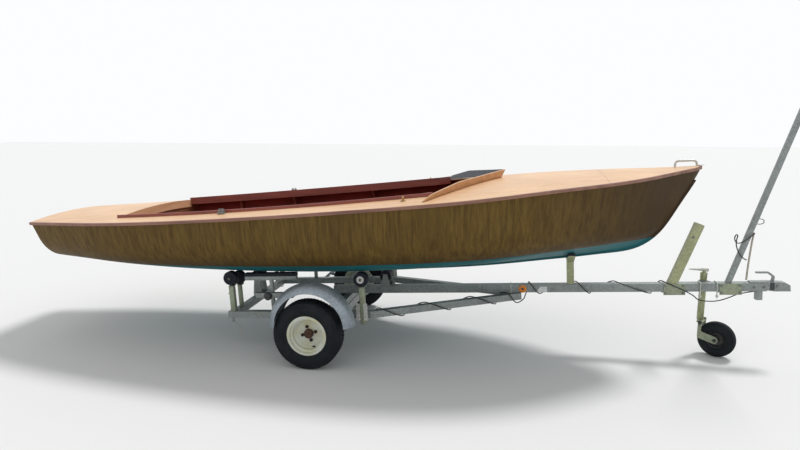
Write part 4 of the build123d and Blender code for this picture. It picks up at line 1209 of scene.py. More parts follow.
class DeckLines:
    """The cambered deck's surface."""

    COLUMNS = 14
    THICKNESS = 0.008
    STATIONS = (
        DeckStation(-2.320, 0.497, 1.059, 0.030),
        DeckStation(-1.500, 0.687, 1.062, 0.040), DeckStation(-0.600, 0.797, 1.084, 0.046),
        DeckStation(0.300, 0.834, 1.117, 0.050), DeckStation(1.100, 0.797, 1.150, 0.060),
        DeckStation(1.700, 0.667, 1.188, 0.044), DeckStation(2.150, 0.462, 1.205, 0.038),
        DeckStation(2.340, 0.336, 1.215, 0.028), DeckStation(2.480, 0.224, 1.225, 0.019),
        DeckStation(2.600, 0.128, 1.234, 0.012), DeckStation(2.700, 0.056, 1.243, 0.006),
        DeckStation(2.742, 0.012, 1.249, 0.002),
    )

    @classmethod
    def slope(cls, index: int, field: str) -> float:
        """Rate of change of one value at a station.

        Args:
            index: the station's number, counted from aft.
            field: the station's value that is read.

        Returns:
            The change for each metre forward.
        """
        before = cls.STATIONS[max(index - 1, 0)]
        after = cls.STATIONS[min(index + 1, len(cls.STATIONS) - 1)]
        return (getattr(after, field) - getattr(before, field)) / (after.x - before.x)

    @classmethod
    def value(cls, x: float, field: str) -> float:
        """One value at x, on a smooth curve through the stations.

        Args:
            x: where along the hull.
            field: the station's value that is read.

        Returns:
            The value.
        """
        index = max([i for i, station in enumerate(cls.STATIONS[:-1]) if station.x <= x], default=0)
        low, high = cls.STATIONS[index], cls.STATIONS[index + 1]
        span = high.x - low.x
        t = (x - low.x) / span
        return (
            (2 * t**3 - 3 * t**2 + 1) * getattr(low, field)
            + (t**3 - 2 * t**2 + t) * span * cls.slope(index, field)
            + (3 * t**2 - 2 * t**3) * getattr(high, field)
            + (t**3 - t**2) * span * cls.slope(index + 1, field)
        )

    @classmethod
    def height(cls, x: float, y: float) -> float:
        """The deck's height over a point of the plan."""
        share = y / cls.value(x, "half_beam")
        return cls.value(x, "sheer") + cls.value(x, "crown") * (1 - share**2)

    @classmethod
    def panel(
        cls, lines: Sequence[float], inside: Callable[[float], float],
    ) -> bmesh.types.BMesh:
        """A panel of the deck, from an opening out to both edges.

        Args:
            lines: where along the hull its rows lie.
            inside: half the opening's width at each row.

        Returns:
            The new bmesh.
        """
        bm = bmesh.new()
        for side in Side:
            rows = []
            for x in lines:
                near, far = inside(x), cls.value(x, "half_beam")
                row = []
                for column in range(cls.COLUMNS + 1):
                    y = near + (far - near) * column / cls.COLUMNS
                    row.append(bm.verts.new((x, side.value * y, cls.height(x, y))))
                rows.append(row)
            for low, high in zip(rows, rows[1:]):
                for column in range(cls.COLUMNS):
                    after = column + 1
                    bm.faces.new((low[column], high[column], high[after], low[after]))
        bmesh.ops.remove_doubles(bm, verts=bm.verts, dist=1e-5)
        Maker.thicken(bm, (0, 0, -cls.THICKNESS))
        return bm


@dataclass
class Foredeck:
    """The foredeck with its vee opening, the coamings' fore ends and the splash boards."""

    finishes: Finishes
    aft: float = 0.8003
    aft_half: float = 0.612
    shoulder: tuple[float, float] = (0.900, 0.608)
    apex: float = 1.300
    row_gap: float = 0.05
    stem_rows: float = 2.56
    stem_row_gap: float = 0.02
    coaming_tops: tuple[float, float] = (1.186, 1.194)
    coaming_depth: float = 0.062
    coaming_thickness: float = 0.012
    board_aft: tuple[float, float] = (0.860, 0.760)
    board_apex: float = 1.347
    board_rake: float = 24.0
    board_thickness: float = 0.009
    board_edge: tuple[tuple[float, float], ...] = (
        (0.0, 0.005), (0.08, 0.040), (0.4, 0.074), (1.1, 0.061),
    )
    board_columns: int = 30
    fitting_rounds: int = 16
    seam_edges: tuple[float, float] = (2.0492, 2.0508)
    seam_rise: float = 0.0003
    handle_ends: tuple[float, float] = (2.568, 2.714)
    handle_top: float = 1.2885
    handle_radius: float = 0.0075
    handle_bend: float = 0.030
    gap: float = 0.0004

    def opening(self, x: float) -> float:
        """The cockpit's opening in the foredeck.

        Args:
            x: where along the hull.

        Returns:
            Half the opening's width there.
        """
        if x >= self.apex:
            return 0.0
        if x <= self.shoulder[0]:
            share = (x - self.aft) / (self.shoulder[0] - self.aft)
            return self.aft_half + share * (self.shoulder[1] - self.aft_half)
        return self.shoulder[1] * (self.apex - x) / (self.apex - self.shoulder[0])

    def panel(self) -> None:
        """Builds the deck panel."""
        stem = DeckLines.STATIONS[-1].x
        rows = {self.aft, self.shoulder[0], self.apex, stem}
        rows |= {round(self.aft + self.row_gap * step, 4) for step in range(1, 36)}
        rows |= {round(self.stem_rows + self.stem_row_gap * step, 4) for step in range(10)}
        bm = DeckLines.panel(sorted(rows), self.opening)
        Maker.piece(
            "foredeck_panel", bm, self.finishes.deck, "varnished_deck", replaces=("foredeck",),
        )

    def coaming_ends(self) -> None:
        """Builds the coamings' last lengths, up to the vee."""
        bm = bmesh.new()
        low, high = self.coaming_tops
        inner, outer = self.coaming_thickness, self.gap
        for side in Side:
            end = bmesh.new()
            corners = [
                (x, side.value * (half - inset), top)
                for x, half, top, insets in (
                    (self.aft, self.aft_half, low, (outer, inner)),
                    (*self.shoulder, high, (inner, outer)),
                )
                for inset in insets
            ]
            Maker.skin(end, [
                [end.verts.new((x, y, z - drop)) for x, y, z in corners]
                for drop in (0, self.coaming_depth)
            ])
            Maker.soften(end, end.edges[:], 0.002)
            Maker.spread(bm, end, [Matrix.Identity(4)])
        Maker.piece("coaming_ends", bm, self.finishes.red, "dark_timber")

    def edge_height(self, share: float) -> float:
        """The top edge of a splash board.

        Args:
            share: how far along the board, from 0 aft to 1 at its apex.

        Returns:
            The edge's height above the board's foot.
        """
        for (low, first), (high, second) in zip(self.board_edge, self.board_edge[1:]):
            if share <= high:
                return first + (second - first) * (share - low) / (high - low)
        return self.board_edge[-1][1]

    def board(self, side: Side) -> bmesh.types.BMesh:
        """Builds one splash board, raked forward and fitted to the deck.

        Args:
            side: the board's side.

        Returns:
            The new bmesh.
        """
        x, y = self.board_aft
        start = Vector((x, side.value * y, DeckLines.height(x, y)))
        along = Vector((self.board_apex, 0, DeckLines.height(self.board_apex, 0))) - start
        run = along.length
        along.normalize()
        ahead = Vector((-side.value * along.y, side.value * along.x, 0)).normalized()
        upright = (Vector((0, 0, 1)) - along * along.z).normalized()
        rake = math.radians(self.board_rake)
        rise = upright * math.cos(rake) + ahead * math.sin(rake)
        aftward = side.value * along.cross(rise)
        thick = self.board_thickness
        bm = bmesh.new()
        rings = []
        for column in range(self.board_columns + 1):
            wanted = side.value * (y + (self.gap - y) * column / self.board_columns)
            ring = []
            for offset, top in ((0, False), (0, True), (thick, True), (thick, False)):
                foot, height = start + aftward * offset, 0.0
                for _ in range(self.fitting_rounds):
                    reach = (wanted - foot.y - rise.y * height) / along.y
                    point = foot + along * reach + rise * height
                    if top:
                        height = self.edge_height(reach / run)
                    else:
                        deck = DeckLines.height(point.x, point.y) + self.gap
                        height += (deck - point.z) / rise.z
                ring.append(bm.verts.new(point))
            rings.append(ring)
        Maker.skin(bm, rings)
        return bm

    def boards(self) -> None:
        """Builds both splash boards."""
        for side, replaces in zip(Side, (("splash_boards",), ())):
            Maker.piece(
                f"splash_board_{side.label}", self.board(side), self.finishes.splash,
                "varnished_deck", replaces=replaces,
            )

    def seam(self) -> None:
        """Builds the filled seam across the foredeck."""
        bm = DeckLines.panel(self.seam_edges, lambda x: 0.0)
        bmesh.ops.translate(bm, vec=(0, 0, self.seam_rise), verts=bm.verts)
        Maker.piece("deck_seam", bm, self.finishes.slat, "dark_timber")

    def handle(self) -> None:
        """Builds the bow handle."""
        bm = bmesh.new()
        aft, fore = [
            [(x, 0, DeckLines.height(x, 0) + self.gap), (x, 0, self.handle_top)]
            for x in self.handle_ends
        ]
        Maker.rod(bm, aft + fore[::-1], self.handle_radius, 16, self.handle_bend)
        Maker.piece(
            "bow_grab", bm, self.finishes.pale_and_sunlit_steel, "stainless_steel", replaces=("bow_handle",),
        )

    def build(self) -> None:
        """Builds every piece of the foredeck."""
        self.panel()
        self.seam()
        self.handle()
        self.coaming_ends()
        self.boards()


@dataclass
class AfterDeck:
    """The cambered after deck and the trim board at the cockpit's after end."""

    finishes: Finishes
    fore: float = -1.5203
    rows: int = 16
    half: float = 0.530
    drop: float = 0.066
    rise: float = 0.002
    gap: float = 0.0006
    thickness: float = 0.008
    trim_steps: int = 24

    def build(self) -> None:
        """Builds both pieces."""
        low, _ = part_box("aft_deck")
        aft = (LEVEL @ Vector(low)).x
        lines = [aft + (self.fore - aft) * step / self.rows for step in range(self.rows + 1)]
        Maker.piece(
            "after_deck_panel", DeckLines.panel(lines, lambda x: 0.0), self.finishes.deck,
            "varnished_deck", replaces=("aft_deck",),
        )
        bm = bmesh.new()
        near = self.fore + self.gap
        rings = []
        for step in range(self.trim_steps + 1):
            y = self.half * (2 * step / self.trim_steps - 1)
            top = DeckLines.height(self.fore, y) + self.rise
            foot, far = top - self.drop, near + self.thickness
            section = ((near, foot), (near, top), (far, top), (far, foot))
            rings.append([bm.verts.new((x, y, z)) for x, z in section])
        Maker.skin(bm, rings)
        Maker.piece(
            "after_trim", bm, self.finishes.trim, "varnished_deck", replaces=("aft_coaming",),
        )


@dataclass(frozen=True)
class RollerSpot:
    """One hull roller's place on its post."""

    x: float
    y: float
    axle: float
    foot: float
    post_width: float
    pale_hub: bool


@dataclass
class Supports:
    """The posts, bunk frames and rollers that carry the hull."""

    finishes: Finishes
    radius: float = 0.052
    half_width: float = 0.028
    spots: tuple[RollerSpot, ...] = (
        RollerSpot(0.352, 0.5443, 0.5850, 0.256, 0.038, True),
        RollerSpot(-0.665, 0.5000, 0.5916, 0.3363, 0.038, False),
        RollerSpot(-0.665, 0.3700, 0.5646, 0.3363, 0.028, False),
    )
    cap_gap: float = 0.012
    cheek_gap: float = 0.005
    cheek_half: float = 0.019
    cheek_thickness: float = 0.006
    cheek_rise: float = 0.032
    shaft_radius: float = 0.008
    bunk_x: float = -0.345
    bunk_y: float = 0.500
    bunk_foot: float = 0.3363
    bunk_post_half: float = 0.013
    bar_top: float = 0.6050
    bar_depth: float = 0.030
    bar_half_length: float = 0.200
    bar_half_width: float = 0.021
    brace_thickness: float = 0.008
    knob_place: Point = (-0.360, 0.5502, 0.463)
    nut_seat: float = 0.0336

    def posts(self) -> None:
        """Builds the roller posts with their caps, cheeks and shafts."""
        bm = bmesh.new()
        wide, thick = self.cheek_half, self.cheek_thickness
        for spot in self.spots:
            x, y, half = spot.x, spot.y, spot.post_width / 2
            top = spot.axle - self.radius - self.cap_gap
            cheek = y - self.half_width - self.cheek_gap
            near, far = cheek - thick / 2, cheek + thick / 2
            for side in Side:
                post = (x - half, y - half, spot.foot), (x + half, y + half, top)
                cap = (x - wide, near, top), (x + wide, y + half, top + thick)
                upright = (x - wide, near, top), (x + wide, far, spot.axle + self.cheek_rise)
                Maker.side_slab(bm, side, *post, bevel=0.003)
                Maker.side_slab(bm, side, *cap)
                Maker.side_slab(bm, side, *upright)
                Maker.rod(bm, [
                    (x, side.value * (cheek - 0.010), spot.axle),
                    (x, side.value * (y + self.half_width + 0.012), spot.axle),
                ], self.shaft_radius, 16)
        # the posts take the zinc with the painted sunlight tint
        Maker.piece(
            "roller_posts", bm, self.finishes.sunlit_green_zinc, "galvanised_steel",
            replaces=("support_posts",),
        )

    def bunk_frames(self) -> None:
        """Builds the bunk bars on their braced posts, and the light bar with its knobs."""
        bm, knobs = bmesh.new(), bmesh.new()
        x, y, low = self.bunk_x, self.bunk_y, self.bar_top - self.bar_depth
        post, length, width = self.bunk_post_half, self.bar_half_length, self.bar_half_width
        slabs = (
            ((x - post, y - post, self.bunk_foot), (x + post, y + post, low)),
            ((x - length, y - width, low), (x + length, y + width, self.bar_top)),
            ((-0.460, y + 0.012, 0.447), (-0.170, y + 0.050, 0.485)),
        )
        brace = (
            (x + 0.004, low - 0.072), (x + 0.070, low + 0.001), (x + 0.052, low + 0.001),
            (x + 0.004, low - 0.056),
        )
        for side in Side:
            for corners in slabs:
                Maker.side_slab(bm, side, *corners, bevel=0.002)
            near = side.value * y - self.brace_thickness / 2
            plate = Maker.plate(brace, self.brace_thickness)
            Maker.spread(bm, plate, [Matrix.Translation((0, near, 0))])
        Maker.piece("bunk_frames", bm, self.finishes.zinc, "galvanised_steel")
        knob = Maker.turned([
            (0, 0.024), (0.012, 0.024), (0.026, 0.020), (0.030, 0.012), (0.030, 0.004),
            (0.024, 0.0), (0, 0.0),
        ], 28)
        Maker.spread(knobs, knob, [Maker.outward(*self.knob_place, side) for side in Side])
        Maker.piece("light_bar_knobs", knobs, self.finishes.worn_black, "moulded_black")

    def rollers(self) -> None:
        """Builds the moulded rollers, ringed on their faces, and their hubs."""
        wheel = Maker.turned(Maker.mirrored([
            (0.0085, 0.0262), (0.024, 0.0262), (0.0262, 0.0278), (0.033, 0.0278),
            (0.0345, 0.0262), (0.040, 0.0262), (0.0415, 0.0276), (0.0465, 0.0276),
            (0.0500, 0.0252), (0.0520, 0.0205), (0.0517, 0.004),
        ]), 44)
        washer = Maker.turned([
            (0.0085, 0.0282), (0.0085, 0.0330), (0.0150, 0.0330), (0.0165, 0.0316),
            (0.0215, 0.0316), (0.0235, 0.0334), (0.0262, 0.0322), (0.0262, 0.0282),
            (0.0085, 0.0282),
        ], 36)
        places = [
            (spot, Maker.outward(spot.x, spot.y, spot.axle, side))
            for spot in self.spots for side in Side
        ]
        seat = Matrix.Translation((0, 0, self.nut_seat))
        rollers, pale, nuts = bmesh.new(), bmesh.new(), bmesh.new()
        Maker.spread(rollers, wheel, [place for _, place in places])
        Maker.spread(pale, washer, [place for spot, place in places if spot.pale_hub])
        Maker.spread(nuts, Maker.nut(0.0120, 0.0060, 0.004), [place @ seat for _, place in places])
        Maker.piece(
            "ringed_rollers", rollers, self.finishes.rubber, "rubber", replaces=("hull_rollers",),
        )
        Maker.piece("roller_hubs", pale, self.finishes.white, "wheel_paint")
        Maker.piece("roller_nuts", nuts, self.finishes.worn_black, "galvanised_steel")

    def build(self) -> None:
        """Builds every support."""
        self.posts()
        self.bunk_frames()
        self.rollers()


@dataclass
class MudguardStays:
    """The mudguards' stays and gussets, and the strips that clamp the middle posts."""

    finishes: Finishes
    gusset: tuple[tuple[float, float], ...] = (
        (0.231, 0.361), (0.285, 0.357), (0.286, 0.313), (0.244, 0.235), (0.210, 0.235),
    )
    gusset_reach: float = 0.6463
    gusset_thickness: float = 0.004
    gusset_bolts: tuple[tuple[float, float], ...] = ((0.278, 0.325), (0.256, 0.265))
    stay_inner: float = 0.5254
    stay_half: float = 0.003
    stay_depth: float = 0.030
    stay_spots: tuple[Point, ...] = ((0.262, 0.6440, 0.316), (-0.281, 0.753, 0.301))
    strip_spots: tuple[float, float] = (0.319, 0.3745)
    strip_reach: float = 0.5662
    strip_foot: float = 0.285
    bolt_height: float = 0.322

    def stays(self) -> None:
        """Builds the four stays and the two fore gussets."""
        bm, bolts = bmesh.new(), bmesh.new()
        half, thickness = self.stay_half, self.gusset_thickness
        for side in Side:
            for x, outer, low in self.stay_spots:
                Maker.side_slab(
                    bm, side, (x - half, self.stay_inner, low),
                    (x + half, outer, low + self.stay_depth), 0.001,
                )
            near = side.value * self.gusset_reach - thickness / 2
            plate = Maker.plate(self.gusset, thickness)
            Maker.spread(bm, plate, [Matrix.Translation((0, near, 0))])
        seat = self.gusset_reach + thickness / 2 + 0.0001
        Maker.spread(bolts, Maker.nut(0.0075, 0.005, 0.003), [
            Maker.outward(x, seat, z, side) for side in Side for x, z in self.gusset_bolts
        ])
        Maker.piece(
            "guard_stays", bm, self.finishes.blue_zinc, "galvanised_steel",
            replaces=("mudguard_stays",),
        )
        Maker.piece("guard_bolts", bolts, self.finishes.worn_black, "galvanised_steel")

    def strips(self) -> None:
        """Builds the perforated strips and the bolts that hold them to the side beams."""
        bm = bmesh.new()
        z = self.bolt_height
        for side in Side:
            for x in self.strip_spots:
                strip = Maker.perforated(0.028, 0.127, (0.026, 0.104), 0.0055, 0.005)
                foot = (x, side.value * self.strip_reach, self.strip_foot)
                Maker.spread(bm, strip, [Matrix.Translation(foot)])
                Maker.rod(bm, [(x, side.value * y, z) for y in (0.5252, 0.5745)], 0.004)
                Maker.spread(bm, Maker.nut(0.0085, 0.005), [Maker.outward(x, 0.5689, z, side)])
        # the strips take the pale steel as painted sunlight
        Maker.piece("post_strips", bm, self.finishes.pale_and_sunlit_steel, "galvanised_steel")

    def build(self) -> None:
        """Builds the stays and strips."""
        self.stays()
        self.strips()


@dataclass
class DrawbarHardware:
    """Clamp plates, bolts, reflectors, the coupling's small parts, the pole and its cords."""

    finishes: Finishes
    half: float = 0.030
    top: float = 0.396
    centre: float = 0.366
    clamp_fores: tuple[float, float] = (2.645, 3.025)
    clamp_length: float = 0.150
    clamp_foot: float = 0.312
    clamp_top: float = 0.3955
    hook_spots: tuple[tuple[float, float], ...] = ((1.393, 0.326), (2.745, 0.288), (2.858, 0.286))
    hook_radius: float = 0.0042
    hook_bend: float = 0.008
    reflector_place: Point = (1.482, 0.0385, 0.366)
    patch: tuple[tuple[float, float], ...] = (
        (1.582, 0.337), (1.664, 0.337), (1.664, 0.379), (1.612, 0.379),
    )
    pole_width: float = 0.036
    pole_length: float = 1.790
    pole_middle: float = 0.795
    pole_foot: float = 2.940
    pole_lean: float = 20.0
    cable_diameter: float = 0.008
    arm_bend: Point = (0.395, -0.500, 0.311)
    arm_nose: Point = (1.462, -0.028, 0.311)
    arm_half: float = 0.025

    def clamps(self) -> None:
        """Builds the plates that clamp both posts, with their bolts."""
        bm, fasteners = bmesh.new(), bmesh.new()
        for fore in self.clamp_fores:
            for side in Side:
                Maker.side_slab(
                    bm, side, (fore - self.clamp_length, self.half + 0.0003, self.clamp_foot),
                    (fore, self.half + 0.0053, self.clamp_top), 0.001,
                )
        Maker.spread(fasteners, Maker.nut(0.0085, 0.006, 0.004), [
            Maker.outward(x, self.half + 0.0054, z, side)
            for fore in self.clamp_fores for side in Side
            for x in (fore - 0.138, fore - 0.014) for z in (0.381, 0.327)
        ])
        Maker.piece(
            "post_clamps", bm, self.finishes.sunlit_green_zinc, "galvanised_steel",
            replaces=("clamp_plates",),
        )
        Maker.spread(fasteners, Maker.nut(0.0090, 0.005, 0.003), [
            Maker.outward(2.693, self.half + 0.0002, 0.738, Side.STARBOARD),
        ])
        Maker.piece("drawbar_fasteners", fasteners, self.finishes.fastener, "galvanised_steel")

    def hooks(self) -> None:
        """Builds the bolts that hook over the drawbar."""
        bm, nuts = bmesh.new(), []
        near, over = -self.half - 0.0050, self.top + 0.0050
        for x, low in self.hook_spots:
            Maker.rod(
                bm, [(x, near, low), (x, near, over), (x, self.half - 0.004, over)],
                self.hook_radius, 12, self.hook_bend,
            )
            place = Matrix.Translation((x, near, low + 0.016))
            nuts.append(place @ Matrix.Rotation(math.pi, 4, "X"))
            low += 0.0162
            Maker.slab(
                bm, (x - 0.011, near - 0.010, low), (x + 0.011, near + 0.010, low + 0.0040), 0.0008,
            )
        Maker.spread(bm, Maker.nut(0.0085, 0.007), nuts)
        Maker.piece("drawbar_hooks", bm, self.finishes.pale_and_sunlit_steel, "galvanised_steel")

    def markers(self) -> None:
        """Builds the reflectors' lenses and the blank adhesive patch."""
        lens = Maker.turned([
            (0, 0.0030), (0.010, 0.0030), (0.0105, 0.0016), (0.0125, 0.0016), (0.0130, 0.0034),
            (0.0225, 0.0026), (0.0255, 0.0010), (0.0255, 0.0), (0, 0.0),
        ], 36)
        boss = Maker.turned([
            (0, 0.0046), (0.0060, 0.0044), (0.0085, 0.0036), (0.0090, 0.0031), (0, 0.0031),
        ], 24)
        lenses, bosses = bmesh.new(), bmesh.new()
        places = [Maker.outward(*self.reflector_place, side) for side in Side]
        Maker.spread(lenses, lens, places)
        Maker.spread(bosses, boss, places)
        Maker.piece("reflector_lenses", lenses, self.finishes.amber, "amber")
        Maker.piece("reflector_bosses", bosses, self.finishes.worn_black, "moulded_black")
        Maker.piece(
            "blank_patch", Maker.plate(self.patch, 0.0006), self.finishes.label, "wheel_paint",
            where=PARKED @ Matrix.Translation((0, -self.half - 0.0008, 0)),
        )

    def coupling(self) -> None:
        """Builds the coupling's sleeve, bolts and the stub under the drawbar."""
        for name, low, high, finish, slot in (
            ("coupling_sleeve", (3.208, -0.0296, 0.343), (3.240, 0.0296, 0.398),
             self.finishes.worn_black, "rubber"),
            ("coupling_stub", (3.122, -0.022, 0.268), (3.166, 0.022, 0.3357),
             self.finishes.zinc, "galvanised_steel"),
        ):
            bm = bmesh.new()
            Maker.slab(bm, low, high, 0.003)
            Maker.piece(name, bm, finish, slot)
        bolts = bmesh.new()
        Maker.spread(bolts, Maker.nut(0.0100, 0.006, 0.004), [
            Maker.outward(x, 0.0283, z, side)
            for side in Side for x, z in ((3.256, 0.372), (3.105, 0.366), (3.170, 0.366))
        ])
        Maker.piece("coupling_bolts", bolts, self.finishes.fastener, "galvanised_steel")

    def pole(self) -> None:
        """Builds the leaning pole and its hook loop."""
        bm = Maker.block((self.pole_width, self.pole_width, self.pole_length), 0.003)
        lean = Matrix.Rotation(math.radians(self.pole_lean), 4, "Y")
        lifted = Matrix.Translation((0, 0, self.pole_middle))
        bm.transform(Matrix.Translation((self.pole_foot, 0, self.top)) @ lean @ lifted)
        cut = bmesh.ops.bisect_plane(
            bm, geom=bm.verts[:] + bm.edges[:] + bm.faces[:],
            plane_co=(0, 0, self.top + 0.0004), plane_no=(0, 0, 1), clear_inner=True,
        )
        rim = [item for item in cut["geom_cut"] if isinstance(item, bmesh.types.BMEdge)]
        bmesh.ops.holes_fill(bm, edges=rim, sides=0)
        Maker.rod(bm, [
            (3.104, 0, 0.852), (3.136, 0, 0.858), (3.164, 0, 0.848), (3.163, 0, 0.824),
            (3.136, 0, 0.817), (3.098, 0, 0.826),
        ], 0.0035, 12, 0.008)
        Maker.piece(
            "slim_pole", bm, self.finishes.zinc, "galvanised_steel", replaces=("mast_pole",),
        )

    def lashings(self) -> None:
        """Lays the rope and the dark cord at the pole's foot."""
        Cord.tie("pole_rope", [
            (3.104, 0.004, 0.758), (3.099, 0.004, 0.735), (3.091, 0.002, 0.690),
            (3.079, 0.0, 0.600), (3.068, 0.0, 0.500), (3.063, 0.0, 0.435), (3.061, 0.0, 0.4135),
        ], 0.013, self.finishes.rope)
        Cord.tie("pole_cord", [
            (3.098, -0.024, 0.756), (3.080, -0.034, 0.744), (3.046, -0.036, 0.716),
            (3.000, -0.034, 0.688), (2.976, -0.026, 0.694), (2.970, -0.010, 0.722),
            (2.984, -0.004, 0.750), (2.990, -0.026, 0.746), (2.974, -0.044, 0.718),
            (2.970, -0.050, 0.682), (2.982, -0.050, 0.640), (3.006, -0.044, 0.600),
            (3.034, -0.036, 0.572), (3.054, -0.012, 0.564),
        ], 0.008, self.finishes.black)

    def cable(self) -> None:
        """Lays the lighting cable round the near arm and the drawbar."""
        bend, nose = Vector(self.arm_bend), Vector(self.arm_nose)
        turn = Matrix.Rotation(math.atan2(nose.y - bend.y, nose.x - bend.x), 4, "Z")
        arm = Matrix.Translation(bend) @ turn
        bar = Matrix.Translation((0, 0, self.centre))
        on_arm = (
            0.014, 0.050, 0.082, 0.226, 0.262, 0.388, 0.443, 0.587, 0.623, 0.749, 0.804, 0.948,
            0.984, 1.020, 1.065,
        )
        on_bar = (
            1.500, 1.515, 1.528, 1.540, 1.600, 1.640, 1.874, 1.892, 1.970, 1.990, 2.140, 2.180,
            2.400, 2.430, 2.480, 2.504, 2.690,
        )
        Cord.tie("lighting_cable", [
            *self.wound(arm, self.arm_half + 0.0130, on_arm, 0),
            (1.425, -0.095, 0.262), (1.490, -0.060, 0.290),
            *self.wound(bar, self.half + 0.0148, on_bar, 3),
            (2.735, -0.020, 0.268), (2.800, -0.012, 0.258), (2.870, -0.010, 0.258),
            (2.950, -0.010, 0.285), (3.010, -0.010, 0.316), (3.116, 0.0, 0.328),
        ], self.cable_diameter, self.finishes.black)

    @staticmethod
    def wound(place: Matrix, off: float, spots: Sequence[float], first: int) -> list[Point]:
        """Control points of a cable wound round a square tube.

        Args:
            place: the tube's axis, along its own X.
            off: how far out each point lies from that axis, both ways.
            spots: distances along the tube at which the cable turns over an edge.
            first: the edge of the first turn, counted from the far lower one.

        Returns:
            The points.
        """
        edges = ((off, -off), (off, off), (-off, off), (-off, -off))
        return [
            tuple(place @ Vector((x, *edges[(first + index) % 4])))
            for index, x in enumerate(spots)
        ]

    def build(self) -> None:
        """Builds all of the drawbar's hardware but its cords."""
        self.clamps()
        self.hooks()
        self.markers()
        self.coupling()
        self.pole()


class Cord:
    """Cords and cables laid on one smooth spline."""

    RESOLUTION = 10
    ROUNDNESS = 3

    @staticmethod
    def tie(
        name: str, route: Sequence[Point], diameter: float, finish: bpy.types.Material,
    ) -> bpy.types.Object:
        """Args:
            name: the piece's name.
            route: its control points in the level frame.
            diameter: its diameter.
            finish: its material.

        Returns:
            The curve object.
        """
        curve = bpy.data.curves.new(name, "CURVE")
        curve.dimensions = "3D"
        curve.resolution_u = Cord.RESOLUTION
        spline = curve.splines.new("NURBS")
        spline.points.add(len(route) - 1)
        for point, spot in zip(spline.points, route):
            point.co = (*(PARKED @ Vector(spot)), 1.0)
        spline.order_u = 3
        spline.use_endpoint_u = True
        thing = bpy.data.objects.new(name, curve)
        bpy.context.scene.collection.objects.link(thing)
        bpy.context.view_layer.update()
        line = bpy.data.meshes.new_from_object(thing)
        bpy.data.meshes.remove(line)
        curve.bevel_depth = diameter / 2
        curve.bevel_resolution = Cord.ROUNDNESS
        curve.use_fill_caps = True
        curve.materials.append(finish)
        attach(thing, "root")
        return thing


@dataclass
class RearFittings:
    """The tie-down eye under each side beam's after end, the near one's wire, and the bolts."""

    finishes: Finishes
    x: float = -0.681
    y: float = 0.500
    eye_height: float = 0.262
    eye_radius: float = 0.011
    eye_steps: int = 18
    bolt_x: float = -0.6842
    bolt_height: float = 0.470

    def build(self) -> None:
        """Builds the fittings."""
        bm = bmesh.new()
        pitch = math.tau / self.eye_steps
        angles = [math.pi / 2 + pitch * step for step in range(self.eye_steps + 1)]
        turn = Matrix.Rotation(-math.pi / 2, 4, "Y")
        radius = self.eye_radius
        for side in Side:
            y = side.value * self.y
            Maker.rod(bm, [
                (self.x + radius * math.cos(angle), y, self.eye_height + radius * math.sin(angle))
                for angle in angles
            ], 0.0032, 10)
            Maker.rod(bm, [(self.x, y, 0.272), (self.x, y, 0.2862)], 0.0040, 10)
            place = Matrix.Translation((self.bolt_x, y, self.bolt_height)) @ turn
            Maker.spread(bm, Maker.nut(0.0085, 0.006, 0.008), [place])
        Maker.piece("rear_eyes", bm, self.finishes.fastener, "galvanised_steel")
        Cord.tie("tie_wire", [
            (-0.672, -0.500, 0.250), (-0.655, -0.502, 0.238), (-0.632, -0.503, 0.222),
            (-0.626, -0.503, 0.198), (-0.632, -0.502, 0.170), (-0.6305, -0.502, 0.133),
        ], 0.004, self.finishes.rope)


@dataclass
class DeckFittings:
    """The cam cleats and fairleads on the side decks."""

    finishes: Finishes
    cleats: tuple[tuple[float, float], ...] = ((-0.606, -0.662), (-0.548, 0.662))
    cleat_half: tuple[float, float] = (0.026, 0.011)
    lead_x: float = 0.714
    lead_y: float = 0.690
    lead_half: tuple[float, float] = (0.017, 0.009)
    lead_height: float = 0.019

    def build(self) -> None:
        """Builds both pairs."""
        cams, leads = bmesh.new(), bmesh.new()
        long, wide = self.cleat_half
        places = []
        for x, y in self.cleats:
            z = DeckLines.height(x, y) + 0.010
            top, bow = z + 0.006, z + 0.027
            Maker.slab(cams, (x - long, y - wide, z - 0.0096), (x + long, y + wide, top))
            places += [Matrix.Translation((x + shift, y, top)) for shift in (-0.011, 0.011)]
            Maker.rod(cams, [
                (x - 0.024, y, z + 0.004), (x - 0.020, y, bow), (x + 0.020, y, bow),
                (x + 0.024, y, z + 0.004),
            ], 0.002, 10, 0.006)
        cam = Maker.turned([
            (0, 0.016), (0.007, 0.016), (0.0085, 0.013), (0.0095, 0.0), (0, 0.0),
        ], 20)
        Maker.spread(cams, cam, places)
        long, wide = self.lead_half
        stood = Matrix.Rotation(math.pi / 2, 4, "Y")
        places = []
        for side in Side:
            x, y = self.lead_x, side.value * self.lead_y
            z = DeckLines.height(x, y)
            low, high = (x - long, y - wide, z - 0.001), (x + long, y + wide, z + 0.005)
            Maker.slab(leads, low, high, 0.0012)
            places.append(Matrix.Translation((x, y, z + self.lead_height)) @ stood)
        ring = Maker.turned([
            (0.0075, 0.0), (0.0085, -0.0050), (0.0120, -0.0060), (0.0150, -0.0040),
            (0.0160, 0.0), (0.0150, 0.0040), (0.0120, 0.0060), (0.0085, 0.0050), (0.0075, 0.0),
        ], 28)
        Maker.spread(leads, ring, places)
        Maker.piece(
            "cam_cleats", cams, self.finishes.fastener, "moulded_black",
            replaces=("deck_fittings",),
        )
        Maker.piece("fairleads", leads, self.finishes.bronze, "stainless_steel")


